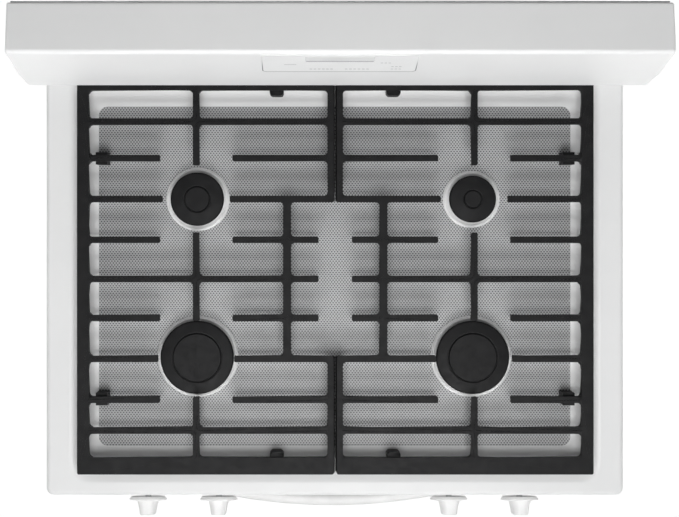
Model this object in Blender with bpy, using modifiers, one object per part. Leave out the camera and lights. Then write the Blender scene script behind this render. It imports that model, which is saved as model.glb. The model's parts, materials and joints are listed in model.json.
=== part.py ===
"""Freestanding 30-inch gas range: metres, +Z up, the front faces -Y.

The origin is on the floor, under the middle of the overall box (handle to back).
Every sub-part is its own closed solid. Heights are from the floor, and depths
are measured from the cooktop's front edge through y_at().
"""

import math

import bmesh
import bpy
from mathutils import Matrix, Vector

# --- overall sizes
WIDTH = 0.759
BODY_DEPTH = 0.640
HANDLE_REACH = 0.047
COOKTOP_HEIGHT = 0.914
BACKGUARD_RISE = 0.276

# --- sheet metal and clearances
SHEET = 0.0015
FIT = 0.0004
RUNNING = 0.0005
SIDE_CLEARANCE = 0.001

# --- body
DOOR_STANDOFF = 0.005
SIDE_BOTTOM = 0.030
SIDE_FLANGE = 0.025
BASE_BOTTOM = 0.038
BASE_HEIGHT = 0.028
BASE_LEDGE = 0.055
RAIL_START = 0.008
BACK_RECESS = 0.028
FRAME_SHEET = 0.002
FRAME_OVERHANG = 0.012

# --- levelling legs
LEG_INSET_X = 0.050
LEG_INSET_Y = 0.068
FOOT_RADIUS = 0.016
STUD_RADIUS = 0.0048
STUD_TOP = 0.060
FOOT_RIM = 0.006
FOOT_SHOULDER = 0.010
FOOT_HEIGHT = 0.012

# --- storage drawer
DRAWER_BOTTOM = 0.058
DRAWER_TOP = 0.262
BIN_SIDE_SPACE = 0.0425
BIN_FLOOR = 0.075
BIN_TOP = 0.226
BIN_LENGTH = 0.530
BIN_LIP = 0.010
BIN_LIP_START = 0.012
RAIL_SIDE_GAP = 0.003

# --- oven door
DOOR_PROUD = 0.006
DOOR_THICKNESS = 0.036
DOOR_GAP = 0.006
WINDOW_WIDTH = 0.410
WINDOW_RISE = 0.165
WINDOW_DROP = 0.163
GLASS_LAP = 0.020
GLASS = 0.004
LINER = 0.002
GASKET = 0.010
PIVOT_BEHIND_FACE = 0.008
PIVOT_RISE = 0.010
HINGE_INSET = 0.0395
HINGE_ARM = 0.010
HINGE_PIN_RADIUS = 0.0025
HINGE_TIP = 0.0006
HINGE_LUG = 0.002
HINGE_BOX_LENGTH = 0.065
HINGE_BOX_MARGIN = 0.004
NOTCH_SIDE = 0.0055
NOTCH_TOP = 0.004
LUG_RISE = 0.016
LUG_FRONT_GAP = 0.0015

# --- door handle, a bowed bar
HANDLE_DROP = 0.185
HANDLE_BOW_RADIUS = 0.783
HANDLE_DEPTH = 0.015
HANDLE_HEIGHT = 0.028
HANDLE_HALF_LENGTH = 0.240

# --- oven
CAVITY_SIDE_SPACE = 0.0725
CAVITY_RISE = 0.030
CAVITY_DROP = 0.060
CAVITY_REAR_SPACE = 0.120
CAVITY_SHEET = 0.002
MOUTH_LAP = 0.004
LEDGE_COUNT = 5
LEDGE_RISE = 0.097
LEDGE_DROP = 0.107
LEDGE_WIDTH = 0.0115
LEDGE_HEIGHT = 0.005
LEDGE_START = 0.020
LEDGE_STOP = 0.010
INSULATION = 0.026
INSULATION_START = 0.112
OVEN_FLOOR_RISE = 0.032
HEAT_SLOT_LENGTH = 0.060
HEAT_SLOT_WIDTH = 0.008
HEAT_SLOT_INSET = 0.014
OVEN_BURNER_RADIUS = 0.008
OVEN_BURNER_HALF = 0.120
OVEN_BURNER_START = 0.070
OVEN_BURNER_STOP = 0.012
OVEN_BURNER_SHORT = 0.040
LENS_RADIUS = 0.030
LENS_DEPTH = 0.020
LENS_INSET = 0.110
LENS_DROP = 0.075

# --- oven racks
RACK_DEPTH = 0.430
RACK_BAR = 0.006
RACK_ROD = 0.004
RACK_RODS = 13
RACK_LEDGES = (1, 3)
RACK_REAR_GAP = 0.006

# --- flue
FLUE_HALF_WIDTH = 0.060
FLUE_HEIGHT = 0.040
FLUE_DEPTH = 0.036
FLUE_REAR_GAP = 0.012
FLUE_INLET_INSET = 0.010
FLUE_INLET_FRONT = 0.050
FLUE_INLET_REAR = 0.020
FLUE_LAP = 0.005

# --- cooktop
LIP = 0.025
CORNER_RADIUS = 0.008
WELL_DEPTH = 0.012
WELL_TOP_SIDE = 0.0325
WELL_TOP_FRONT = 0.019
WELL_TOP_REAR = 0.084
WELL_FLOOR_SIDE = 0.067
WELL_FLOOR_FRONT = 0.063
WELL_FLOOR_REAR = 0.127
WELL_CORNER = 0.012

# --- burners
BURNER_INSET = 0.199
FRONT_BURNER = 0.182
REAR_BURNER_FROM_BACK = 0.2505
FRONT_CAP = 0.096
REAR_LEFT_CAP = 0.070
REAR_RIGHT_CAP = 0.0615
FRONT_RING_MARGIN = 0.004
REAR_RING_MARGIN = 0.0075
BOSS_HEIGHT = 0.003
HEAD_UNDER_CAP = 0.007
HEAD_HEIGHT = 0.009
NECK_UNDER_HEAD = 0.011
NECK_LENGTH = 0.025
HEAD_HOLLOW = 0.004
HEAD_TAPER = 0.002
CAP_HEIGHT = 0.008
CAP_STEP = 0.0012
CAP_FALL = 0.0020
CAP_SHOULDER = 0.0042
CAP_EDGE = 0.003
CAP_CHAMFER = 0.001
FRONT_DISC_SHARE = 0.63
REAR_DISC_SHARE = 0.42

# --- grates
GRATE_TOP = 0.025
GRATE_BAR_HEIGHT = 0.012
GRATE_BAR = 0.0085
GRATE_EDGE_BAR = 0.0155
GRATE_SIDE = 0.0445
GRATE_FRONT = 0.032
GRATE_REAR = 0.095
GRATE_FRONT_BAR = 0.022
GRATE_REAR_BAR = 0.0145
GRATE_SPLIT = 0.004
INNER_BAR = 0.008
SPINE_X = 0.0625
SPINE = 0.0104
STUB_END_X = 0.0216
FINGER_ROW = 0.053
FINGER_REACH = 0.047
REAR_OUTER_ROW = 0.1005
FRONT_OUTER_ROW = 0.093
REAR_OPENING = 0.087
OPENING_MARGIN = 0.0026
FOOT_WIDTH = 0.016
FOOT_LENGTH = 0.015
PAD_X = 0.076
PAD_WIDTH = 0.018
PAD_REACH = 0.0065

# --- control panel and knobs
PANEL_HEIGHT = 0.0866
PANEL_TOP_PROUD = 0.003
PANEL_TILT = math.radians(8.0)
KNOB_DROP = 0.060
KNOB_INSETS = (0.1285, 0.224)
KNOB_RADIUS = 0.0255
KNOB_TRAVEL = 0.003
KNOB_SKIRT = 0.006
KNOB_BACK_GAP = 0.0008
KNOB_CROWN = 0.002
KNOB_SHOULDER = 0.006
KNOB_EDGE = 0.0015
KNOB_UNDERCUT = 0.003
KNOB_LENGTH = 0.0285
GRIP_WIDTH = 0.021
GRIP_TIP_WIDTH = 0.015
GRIP_HEIGHT = 0.045
STEM_RADIUS = 0.004
STEM_FRONT = 0.016
STEM_BACK = 0.024
STEM_HOLE_GAP = 0.0025
VALVE_FRONT = 0.012
VALVE_LENGTH = 0.038
VALVE_WIDTH = 0.028
VALVE_NECK = 0.018
VALVE_NECK_LENGTH = 0.014
VALVE_NECK_LAP = 0.002
STEM_END_GAP = 0.001

# --- gas supply and rear fittings
PIPE_RADIUS = 0.008
REGULATOR_RADIUS = 0.020
REGULATOR_HEIGHT = 0.050
INLET_RADIUS = 0.0105
GLAND_RADIUS = 0.012
GLAND_FLANGE = 0.004
GLAND_REACH = 0.012
GLAND_BORE = 0.0035
GLAND_FROM_SIDE = 0.130
GLAND_RISE = 0.090
REGULATOR_SIDE_GAP = 0.020
REGULATOR_RISE = 0.060
REGULATOR_REAR_GAP = 0.004
INLET_REACH = 0.014
PIPE_SIDE_GAP = 0.008
PIPE_OFFSET_DROP = 0.060

# --- backguard
BACKGUARD_BACK = 0.030
COVER_MARGIN = 0.004
LOUVRE_COUNT = 4
LOUVRE_RISE = 0.050
LOUVRE_PITCH = 0.014
LOUVRE_HEIGHT = 0.005
LOUVRE_HALF = 0.100
VENT_SETBACK = 0.080
LIP_SETBACK = 0.113
BREAK_SETBACK = 0.106
TOP_SETBACK = 0.089
VENT_HEIGHT = 0.126
LIP_RISE = 0.132
BREAK_RISE = 0.195
TOP_FALL = 0.010
VENT_SLOTS = 6
VENT_SLOT_PITCH = 0.050
VENT_SLOT_LENGTH = 0.038
VENT_SLOT_HEIGHT = 0.012
VENT_SLOT_RISE = 0.060
EDGE_ROUND = 0.004
OVERLAY_WIDTH = 0.181
OVERLAY_HEIGHT = 0.068
OVERLAY_BELOW_TOP = 0.040
OVERLAY_THICKNESS = 0.001
OVERLAY_CORNER = 0.006
DISPLAY_WIDTH = 0.079
DISPLAY_HEIGHT = 0.020
DISPLAY_RISE = 0.022
DISPLAY_CORNER = 0.002
DISPLAY_THICKNESS = 0.0008
BOARD_FRONT = 0.006
BOARD_DEPTH = 0.028

# --- derived planes
HALF = WIDTH / 2
EDGE = HANDLE_REACH - (BODY_DEPTH + HANDLE_REACH) / 2


def y_at(depth):
    """The y of a plane this far behind the cooktop's front edge."""
    return EDGE + depth


REAR = y_at(BODY_DEPTH)
BACK_PANEL = REAR - BACK_RECESS
INNER_HALF = HALF - SHEET - FIT
BASE_TOP = BASE_BOTTOM + BASE_HEIGHT
SIDE_TOP = COOKTOP_HEIGHT - LIP - FIT

PANEL_TOP = COOKTOP_HEIGHT - LIP - FIT
PANEL_BOTTOM = PANEL_TOP - PANEL_HEIGHT
DOOR_FRONT = y_at(-DOOR_PROUD)
DOOR_BACK = DOOR_FRONT + DOOR_THICKNESS
BODY_FRONT = DOOR_BACK + DOOR_STANDOFF
FRAME_FRONT = BODY_FRONT + SHEET + FIT
FRAME_BACK = FRAME_FRONT + FRAME_SHEET
DOOR_BOTTOM = DRAWER_TOP + DOOR_GAP
DOOR_TOP = PANEL_BOTTOM - DOOR_GAP
DOOR_HALF = HALF - SIDE_CLEARANCE
PIVOT = Vector((0, DOOR_FRONT + PIVOT_BEHIND_FACE, DOOR_BOTTOM + PIVOT_RISE))
HINGE_X = HALF - HINGE_INSET
WINDOW_BOTTOM = DOOR_BOTTOM + WINDOW_RISE
WINDOW_TOP = DOOR_TOP - WINDOW_DROP

BIN_HALF = HALF - BIN_SIDE_SPACE
RAIL_X = BIN_HALF + BIN_LIP + RAIL_SIDE_GAP

CAVITY_HALF = HALF - CAVITY_SIDE_SPACE
CAVITY_FRONT = FRAME_BACK + FIT
CAVITY_REAR = REAR - CAVITY_REAR_SPACE
CAVITY_BOTTOM = DOOR_BOTTOM + CAVITY_RISE
CAVITY_TOP = PANEL_BOTTOM - CAVITY_DROP
CAVITY_INNER = CAVITY_HALF - CAVITY_SHEET
OVEN_FLOOR = CAVITY_BOTTOM + OVEN_FLOOR_RISE

WELL_FLOOR = COOKTOP_HEIGHT - WELL_DEPTH
BURNER_X = HALF - BURNER_INSET
REAR_BURNER = BODY_DEPTH - REAR_BURNER_FROM_BACK
BOSS_TOP = WELL_FLOOR + BOSS_HEIGHT
HEAD_BOTTOM = BOSS_TOP + FIT
CAP_BOTTOM = HEAD_BOTTOM + HEAD_HEIGHT + FIT
BURNERS = {
    "front_left": (-BURNER_X, FRONT_BURNER, FRONT_CAP, FRONT_RING_MARGIN),
    "front_right": (BURNER_X, FRONT_BURNER, FRONT_CAP, FRONT_RING_MARGIN),
    "rear_left": (-BURNER_X, REAR_BURNER, REAR_LEFT_CAP, REAR_RING_MARGIN),
    "rear_right": (BURNER_X, REAR_BURNER, REAR_RIGHT_CAP, REAR_RING_MARGIN),
}
KNOBS = {
    "1": -(HALF - KNOB_INSETS[0]),
    "2": -(HALF - KNOB_INSETS[1]),
    "3": HALF - KNOB_INSETS[1],
    "4": HALF - KNOB_INSETS[0],
}
KNOB_Z = COOKTOP_HEIGHT - KNOB_DROP

# --- colours: (base colour, roughness, metallic)
WHITE = ("white_enamel", (0.86, 0.87, 0.87), 0.25, 0.0)
SPECKLE = ("speckled_enamel", (0.80, 0.81, 0.81), 0.25, 0.0)
GREY = ("grey_enamel", (0.16, 0.17, 0.19), 0.35, 0.0)
CAST = ("cast_iron", (0.02, 0.02, 0.022), 0.45, 0.2)
STEEL = ("galvanised_steel", (0.55, 0.56, 0.57), 0.45, 0.9)
CHROME = ("chrome", (0.75, 0.75, 0.76), 0.15, 1.0)
ALUMINIUM = ("aluminium", (0.62, 0.62, 0.63), 0.40, 1.0)
BRASS = ("brass", (0.60, 0.45, 0.20), 0.35, 1.0)
PLASTIC = ("white_plastic", (0.88, 0.88, 0.88), 0.30, 0.0)
BLACK = ("black_plastic", (0.02, 0.02, 0.02), 0.40, 0.0)
GLASS_DARK = ("tinted_glass", (0.02, 0.02, 0.02), 0.08, 0.0)
LENS_GLASS = ("lens_glass", (0.90, 0.88, 0.80), 0.10, 0.0)
WOOL = ("mineral_wool", (0.72, 0.66, 0.42), 0.95, 0.0)
GASKET_CORD = ("gasket_braid", (0.30, 0.30, 0.29), 0.90, 0.0)


# --- scene and helpers


def new_collection(name):
    collection = bpy.data.collections.new(name)
    bpy.context.scene.collection.children.link(collection)
    return collection


for old in list(bpy.data.objects):
    bpy.data.objects.remove(old)
PARTS = new_collection("freestanding_gas_range")
CUTTERS = new_collection("cutters")


def material(spec):
    """A Principled material made once per finish."""
    name, colour, roughness, metallic = spec
    made = bpy.data.materials.get(name)
    if made is None:
        made = bpy.data.materials.new(name)
        made.use_nodes = True
        shader = made.node_tree.nodes["Principled BSDF"]
        shader.inputs["Base Color"].default_value = (*colour, 1)
        shader.inputs["Roughness"].default_value = roughness
        shader.inputs["Metallic"].default_value = metallic
        made.diffuse_color = (*colour, 1)
    return made


def box(low, high):
    """A shape: an axis-aligned box between two corners given in any order."""
    a = Vector([min(p, q) for p, q in zip(low, high)])
    b = Vector([max(p, q) for p, q in zip(low, high)])
    size = b - a
    where = Matrix.Translation((a + b) / 2) @ Matrix.Diagonal((*size, 1))
    return lambda bm: bmesh.ops.create_cube(bm, size=1, matrix=where)


def mirrored_boxes(low, high):
    """The same box on both sides of the middle plane."""
    flip = lambda p: (-p[0], p[1], p[2])
    return [box(low, high), box(flip(low), flip(high))]


def rod(start, end, radius, segments=16):
    """A shape: a round bar between two points."""
    a, b = Vector(start), Vector(end)
    turn = (b - a).to_track_quat("Z", "Y").to_matrix().to_4x4()
    where = Matrix.Translation((a + b) / 2) @ turn
    length = (b - a).length

    def add(bm):
        bmesh.ops.create_cone(
            bm,
            cap_ends=True,
            segments=segments,
            radius1=radius,
            radius2=radius,
            depth=length,
            matrix=where,
        )

    return add


def tray_block(bottom, top, low_z, high_z, radius, segments=4):
    """A shape: a block whose upright corners are rounded and whose bottom and top
    outlines (x0, y0, x1, y1) may differ in size.
    """

    def add(bm):
        made = bmesh.ops.create_cube(bm, size=1)["verts"]
        for vert in made:
            outline = top if vert.co.z > 0 else bottom
            vert.co.x = outline[2] if vert.co.x > 0 else outline[0]
            vert.co.y = outline[3] if vert.co.y > 0 else outline[1]
            vert.co.z = high_z if vert.co.z > 0 else low_z
        edges = {edge for vert in made for edge in vert.link_edges}
        upright = [e for e in edges if abs(e.verts[0].co.z - e.verts[1].co.z) > 1e-6]
        bmesh.ops.bevel(
            bm,
            geom=upright,
            offset=radius,
            segments=segments,
            profile=0.5,
            affect="EDGES",
        )

    return add


def evaluated_mesh(data, name):
    """The mesh that a curve makes, with its caps welded."""
    holder = bpy.data.objects.new(name, data)
    CUTTERS.objects.link(holder)
    bpy.context.view_layer.update()
    graph = bpy.context.evaluated_depsgraph_get()
    mesh = bpy.data.meshes.new_from_object(holder.evaluated_get(graph))
    bpy.data.objects.remove(holder)
    bm = bmesh.new()
    bm.from_mesh(mesh)
    bmesh.ops.remove_doubles(bm, verts=bm.verts, dist=0.00001)
    bm.to_mesh(mesh)
    bm.free()
    return mesh


def outline_curve(points, thickness):
    """A filled 2D curve in its own xy plane, extruded both ways."""
    curve = bpy.data.curves.new("outline", "CURVE")
    curve.dimensions = "2D"
    curve.fill_mode = "BOTH"
    curve.extrude = thickness / 2
    spline = curve.splines.new("POLY")
    spline.points.add(len(points) - 1)
    for point, (u, v) in zip(spline.points, points):
        point.co = (u, v, 0, 1)
    spline.use_cyclic_u = True
    return curve


def prism(points, low_x, high_x):
    """A shape: an outline in (y, z) extruded along x."""
    side_on = Matrix(((0, 0, 1, 0), (1, 0, 0, 0), (0, 1, 0, 0), (0, 0, 0, 1)))
    middle = Matrix.Translation(((low_x + high_x) / 2, 0, 0))

    def add(bm):
        mesh = evaluated_mesh(outline_curve(points, high_x - low_x), "prism")
        mesh.transform(middle @ side_on)
        bm.from_mesh(mesh)

    return add


def slab(points, low_z, high_z):
    """A shape: an outline in (x, y) extruded along z."""

    def add(bm):
        mesh = evaluated_mesh(outline_curve(points, high_z - low_z), "slab")
        mesh.transform(Matrix.Translation((0, 0, (low_z + high_z) / 2)))
        bm.from_mesh(mesh)

    return add


def tube(points, radius):
    """A shape: a round tube or bar through the points."""

    def add(bm):
        curve = bpy.data.curves.new("tube", "CURVE")
        curve.dimensions = "3D"
        curve.bevel_depth = radius
        curve.bevel_resolution = 2
        curve.use_fill_caps = True
        spline = curve.splines.new("POLY")
        spline.points.add(len(points) - 1)
        for point, where in zip(spline.points, points):
            point.co = (*where, 1)
        bm.from_mesh(evaluated_mesh(curve, "tube"))

    return add


def mesh_of(name, shapes):
    bm = bmesh.new()
    for add in shapes:
        add(bm)
    bmesh.ops.recalc_face_normals(bm, faces=bm.faces)
    mesh = bpy.data.meshes.new(name)
    bm.to_mesh(mesh)
    bm.free()
    return mesh


def smooth(mesh):
    mesh.shade_smooth()
    mesh.set_sharp_from_angle(angle=math.radians(35))


def combine(obj, operation, shapes, overlapping=False):
    """Add or cut shapes, given in the object's own coordinates before its origin moved."""
    helper = bpy.data.objects.new(f"{obj.name}_{operation.lower()}", mesh_of("helper", shapes))
    CUTTERS.objects.link(helper)
    helper.data.transform(Matrix.Translation(-Vector(obj["origin"])))
    helper.matrix_world = obj.matrix_world
    helper.hide_render = True
    helper.display_type = "WIRE"
    modifier = obj.modifiers.new(operation.title(), "BOOLEAN")
    modifier.operation = operation
    modifier.solver = "EXACT"
    modifier.use_self = overlapping
    modifier.object = helper
    return obj


def cut(obj, shapes, overlapping=False):
    return combine(obj, "DIFFERENCE", shapes, overlapping)


def join(obj, shapes, overlapping=True):
    return combine(obj, "UNION", shapes, overlapping)


def finish_object(name, mesh, spec, frame, origin):
    """Link a mesh as a named part. The shape stays where it is when origin moves the pivot."""
    obj = bpy.data.objects.new(name, mesh)
    PARTS.objects.link(obj)
    mesh.materials.append(material(spec))
    mesh.transform(Matrix.Translation(-Vector(origin)))
    smooth(mesh)
    obj["origin"] = tuple(origin)
    obj.matrix_world = frame @ Matrix.Translation(origin)
    return obj


def part(name, spec, shapes, frame=Matrix.Identity(4), origin=(0, 0, 0)):
    """A named part whose first shape is its mesh and whose others are joined to it."""
    obj = finish_object(name, mesh_of(name, shapes[:1]), spec, frame, origin)
    if shapes[1:]:
        join(obj, shapes[1:])
    return obj


def turned(name, spec, profile, frame=Matrix.Identity(4), steps=32):
    """A part turned about its local z from (radius, height) points, listed down its outer side."""
    mesh = bpy.data.meshes.new(name)
    points = [(radius, 0, height) for radius, height in profile]
    mesh.from_pydata(points, [(i, i + 1) for i in range(len(points) - 1)], [])
    obj = finish_object(name, mesh, spec, frame, (0, 0, 0))
    screw = obj.modifiers.new("Screw", "SCREW")
    screw.axis = "Z"
    screw.steps = steps
    screw.render_steps = steps
    screw.use_merge_vertices = True
    screw.merge_threshold = 0.0001
    screw.use_smooth_shade = True
    return obj


def at(x, y, z):
    return Matrix.Translation((x, y, z))


# --- body


def side_panel(name, side):
    """Outer side with flanges folded in at the front, rear and bottom."""
    inner = side * (HALF - SHEET)
    outer = side * HALF
    fold = side * (HALF - SIDE_FLANGE)
    sheet = box((inner, BODY_FRONT, SIDE_BOTTOM), (outer, REAR, SIDE_TOP))
    front = box((fold, BODY_FRONT, SIDE_BOTTOM), (outer, BODY_FRONT + SHEET, PANEL_BOTTOM))
    rear = box((fold, REAR - SHEET, SIDE_BOTTOM), (outer, REAR, SIDE_TOP))
    bottom = box((fold, BODY_FRONT, SIDE_BOTTOM), (outer, REAR, SIDE_BOTTOM + SHEET))
    part(name, WHITE, [sheet, front, rear, bottom])


def base_frame():
    """Bottom tray with an open middle, and the two rails that carry the drawer."""
    front = BODY_FRONT + SHEET + FIT
    back = BACK_PANEL - FIT
    obj = part(
        "base_frame",
        STEEL,
        [box((-INNER_HALF, front, BASE_BOTTOM), (INNER_HALF, back, BASE_TOP))],
    )
    wall = FRAME_SHEET
    cut(
        obj,
        [
            box(
                (-INNER_HALF + wall, front + wall, BASE_BOTTOM + wall),
                (INNER_HALF - wall, back - wall, BASE_TOP + wall),
            )
        ],
    )
    cut(
        obj,
        [
            box(
                (-INNER_HALF + BASE_LEDGE, front + BASE_LEDGE, BASE_BOTTOM - wall),
                (INNER_HALF - BASE_LEDGE, back - BASE_LEDGE, BASE_TOP),
            )
        ]
        + [
            rod((x, y, SIDE_BOTTOM), (x, y, BASE_TOP), STUD_RADIUS + RUNNING)
            for x, y in leg_places().values()
        ],
    )
    rail_top = BIN_TOP - SHEET - FIT
    start = front + RAIL_START
    end = DOOR_BACK + BIN_LENGTH
    rails = mirrored_boxes((RAIL_X, start, BASE_BOTTOM), (RAIL_X + SHEET, end, rail_top))
    rails += mirrored_boxes(
        (BIN_HALF + RAIL_SIDE_GAP, start, rail_top - SHEET), (RAIL_X + SHEET, end, rail_top)
    )
    join(obj, rails)


def back_panel():
    """Rear closing sheet with holes for the gas inlet and the supply cord."""
    obj = part(
        "back_panel",
        STEEL,
        [box((-INNER_HALF, BACK_PANEL, BASE_BOTTOM), (INNER_HALF, BACK_PANEL + SHEET, SIDE_TOP))],
    )
    holes = []
    for x, z, radius in (
        (*regulator_place(), INLET_RADIUS + RUNNING),
        (*gland_place(), GLAND_RADIUS * 0.75 + RUNNING),
    ):
        holes.append(rod((x, BACK_PANEL - SHEET, z), (x, BACK_PANEL + 2 * SHEET, z), radius))
    cut(obj, holes)


def leg_places():
    """Centre of each levelling leg, by corner."""
    x = HALF - LEG_INSET_X
    front = BODY_FRONT + LEG_INSET_Y / 2
    rear = BACK_PANEL - LEG_INSET_Y / 2
    return {
        "front_left": (-x, front),
        "front_right": (x, front),
        "rear_left": (-x, rear),
        "rear_right": (x, rear),
    }


def levelling_legs():
    for corner, (x, y) in leg_places().items():
        profile = [
            (0, STUD_TOP),
            (STUD_RADIUS, STUD_TOP),
            (STUD_RADIUS, FOOT_HEIGHT),
            (FOOT_RADIUS * 0.8, FOOT_SHOULDER),
            (FOOT_RADIUS, FOOT_RIM),
            (FOOT_RADIUS, 0),
            (0, 0),
        ]
        turned(f"levelling_leg_{corner}", BLACK, profile, at(x, y, 0), steps=16)


def front_frame():
    """Face frame around the oven's mouth and the drawer."""
    obj = part(
        "front_frame",
        WHITE,
        [box((-INNER_HALF, FRAME_FRONT, BASE_TOP + FIT), (INNER_HALF, FRAME_BACK, PANEL_BOTTOM))],
    )
    before, behind = FRAME_FRONT - SHEET, FRAME_BACK + SHEET
    mouth = CAVITY_HALF - MOUTH_LAP
    drawer = RAIL_X - RUNNING
    slot = HINGE_ARM / 2 + RUNNING
    openings = [
        box(
            (-mouth, before, CAVITY_BOTTOM + MOUTH_LAP),
            (mouth, behind, CAVITY_TOP - MOUTH_LAP),
        ),
        box((-drawer, before, BASE_BOTTOM), (drawer, behind, DRAWER_TOP - FRAME_OVERHANG)),
    ]
    openings += mirrored_boxes(
        (HINGE_X - slot, before, PIVOT.z - slot), (HINGE_X + slot, behind, PIVOT.z + slot)
    )
    cut(obj, openings)


# --- oven


def ledge_heights():
    """The tops of the rack ledges, evenly spaced."""
    first = CAVITY_BOTTOM + LEDGE_RISE
    last = CAVITY_TOP - LEDGE_DROP
    return [first + (last - first) * k / (LEDGE_COUNT - 1) for k in range(LEDGE_COUNT)]


def oven_cavity():
    """Open-fronted enamelled box with rack ledges and a flue hole in its roof."""
    obj = part(
        "oven_cavity",
        GREY,
        [
            box(
                (-CAVITY_HALF, CAVITY_FRONT, CAVITY_BOTTOM),
                (CAVITY_HALF, CAVITY_REAR, CAVITY_TOP),
            )
        ],
    )
    t = CAVITY_SHEET
    cut(
        obj,
        [
            box(
                (-CAVITY_INNER, CAVITY_FRONT - t, CAVITY_BOTTOM + t),
                (CAVITY_INNER, CAVITY_REAR - t, CAVITY_TOP - t),
            ),
        ],
    )
    ledges = []
    for z in ledge_heights():
        ledges += mirrored_boxes(
            (CAVITY_INNER - LEDGE_WIDTH, CAVITY_FRONT + LEDGE_START, z - LEDGE_HEIGHT),
            (CAVITY_HALF - t / 2, CAVITY_REAR - LEDGE_STOP, z),
        )
    join(obj, ledges, overlapping=False)
    low, high = flue_inlet()
    cut(obj, [box((*low, CAVITY_TOP - 2 * t), (*high, CAVITY_TOP + t))])


def insulation_wrap():
    """Mineral wool around the cavity, notched for the flue."""
    half = CAVITY_HALF + INSULATION + FIT
    start = EDGE + INSULATION_START
    obj = part(
        "insulation_wrap",
        WOOL,
        [
            box(
                (-half, start, CAVITY_BOTTOM - INSULATION),
                (half, CAVITY_REAR + INSULATION, CAVITY_TOP + INSULATION),
            )
        ],
    )
    cut(
        obj,
        [
            box(
                (-CAVITY_HALF - FIT, start - SHEET, CAVITY_BOTTOM - FIT),
                (CAVITY_HALF + FIT, CAVITY_REAR + FIT, CAVITY_TOP + FIT),
            )
        ],
    )
    low, high = flue_inlet()
    clear = FLUE_HALF_WIDTH + RUNNING
    cut(
        obj,
        [
            box(
                (-clear, low[1] - FLUE_DEPTH / 2, CAVITY_TOP - FIT),
                (clear, CAVITY_REAR + 2 * INSULATION, CAVITY_TOP + 2 * INSULATION),
            )
        ],
    )


def flue_inlet():
    """Corners (x, y) of the flue's hole in the cavity roof."""
    return (
        (-FLUE_HALF_WIDTH + FLUE_INLET_INSET, CAVITY_REAR - FLUE_INLET_FRONT),
        (FLUE_HALF_WIDTH - FLUE_INLET_INSET, CAVITY_REAR - FLUE_INLET_REAR),
    )


def flue_outlet():
    """Front and rear y of the upright part of the flue."""
    rear = REAR - BACKGUARD_BACK - FLUE_REAR_GAP
    return rear - FLUE_DEPTH, rear


def oven_vent():
    """Sheet duct from the cavity roof back and up to the vent behind the cooktop."""
    low, high = flue_inlet()
    front, rear = flue_outlet()
    bottom = CAVITY_TOP + FIT
    top = COOKTOP_HEIGHT - SHEET - FIT
    t = SHEET
    start = low[1] - FLUE_LAP
    obj = part(
        "oven_vent",
        STEEL,
        [
            box((-FLUE_HALF_WIDTH, start, bottom), (FLUE_HALF_WIDTH, rear, bottom + FLUE_HEIGHT)),
            box((-FLUE_HALF_WIDTH, front, bottom), (FLUE_HALF_WIDTH, rear, top)),
        ],
    )
    inner = FLUE_HALF_WIDTH - t
    cut(
        obj,
        [
            box((-inner, start + t, bottom + t), (inner, rear - t, bottom + FLUE_HEIGHT - t)),
            box((-inner, front + t, bottom + t), (inner, rear - t, top + t)),
            box((*low, bottom - t), (*high, bottom + 2 * t)),
        ],
        overlapping=True,
    )


def oven_floor():
    """Lift-out floor with a row of heat slots along each side."""
    half = CAVITY_INNER - SIDE_CLEARANCE * 2
    front = CAVITY_FRONT + SIDE_CLEARANCE * 4
    rear = CAVITY_REAR - CAVITY_SHEET - SIDE_CLEARANCE * 2
    obj = part(
        "oven_floor",
        GREY,
        [box((-half, front, OVEN_FLOOR), (half, rear, OVEN_FLOOR + SHEET))],
    )
    slots = []
    long = HEAT_SLOT_LENGTH
    for y in (front + long, (front + rear) / 2, rear - long):
        slots += mirrored_boxes(
            (half - HEAT_SLOT_INSET - HEAT_SLOT_WIDTH, y - long / 2, OVEN_FLOOR - SHEET),
            (half - HEAT_SLOT_INSET, y + long / 2, OVEN_FLOOR + 2 * SHEET),
        )
    cut(obj, slots)


def oven_burner(name, z):
    """A looped tube burner, fed from the rear on its left leg."""
    front = CAVITY_FRONT + OVEN_BURNER_START
    rear = CAVITY_REAR - CAVITY_SHEET - OVEN_BURNER_STOP
    x = OVEN_BURNER_HALF
    route = [(-x, rear, z), (-x, front, z), (x, front, z), (x, rear - OVEN_BURNER_SHORT, z)]
    part(name, STEEL, [tube(route, OVEN_BURNER_RADIUS)])


def oven_light():
    """Domed glass lens on the cavity's rear wall."""
    frame = at(
        CAVITY_INNER - LENS_INSET, CAVITY_REAR - CAVITY_SHEET - FIT, CAVITY_TOP - LENS_DROP
    ) @ Matrix.Rotation(math.radians(90), 4, "X")
    profile = [
        (0, LENS_DEPTH),
        (LENS_RADIUS * 0.6, LENS_DEPTH * 0.85),
        (LENS_RADIUS * 0.9, LENS_DEPTH * 0.45),
        (LENS_RADIUS, LENS_DEPTH * 0.2),
        (LENS_RADIUS, 0),
        (0, 0),
    ]
    turned("oven_light_lens", LENS_GLASS, profile, frame, steps=20)


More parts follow.
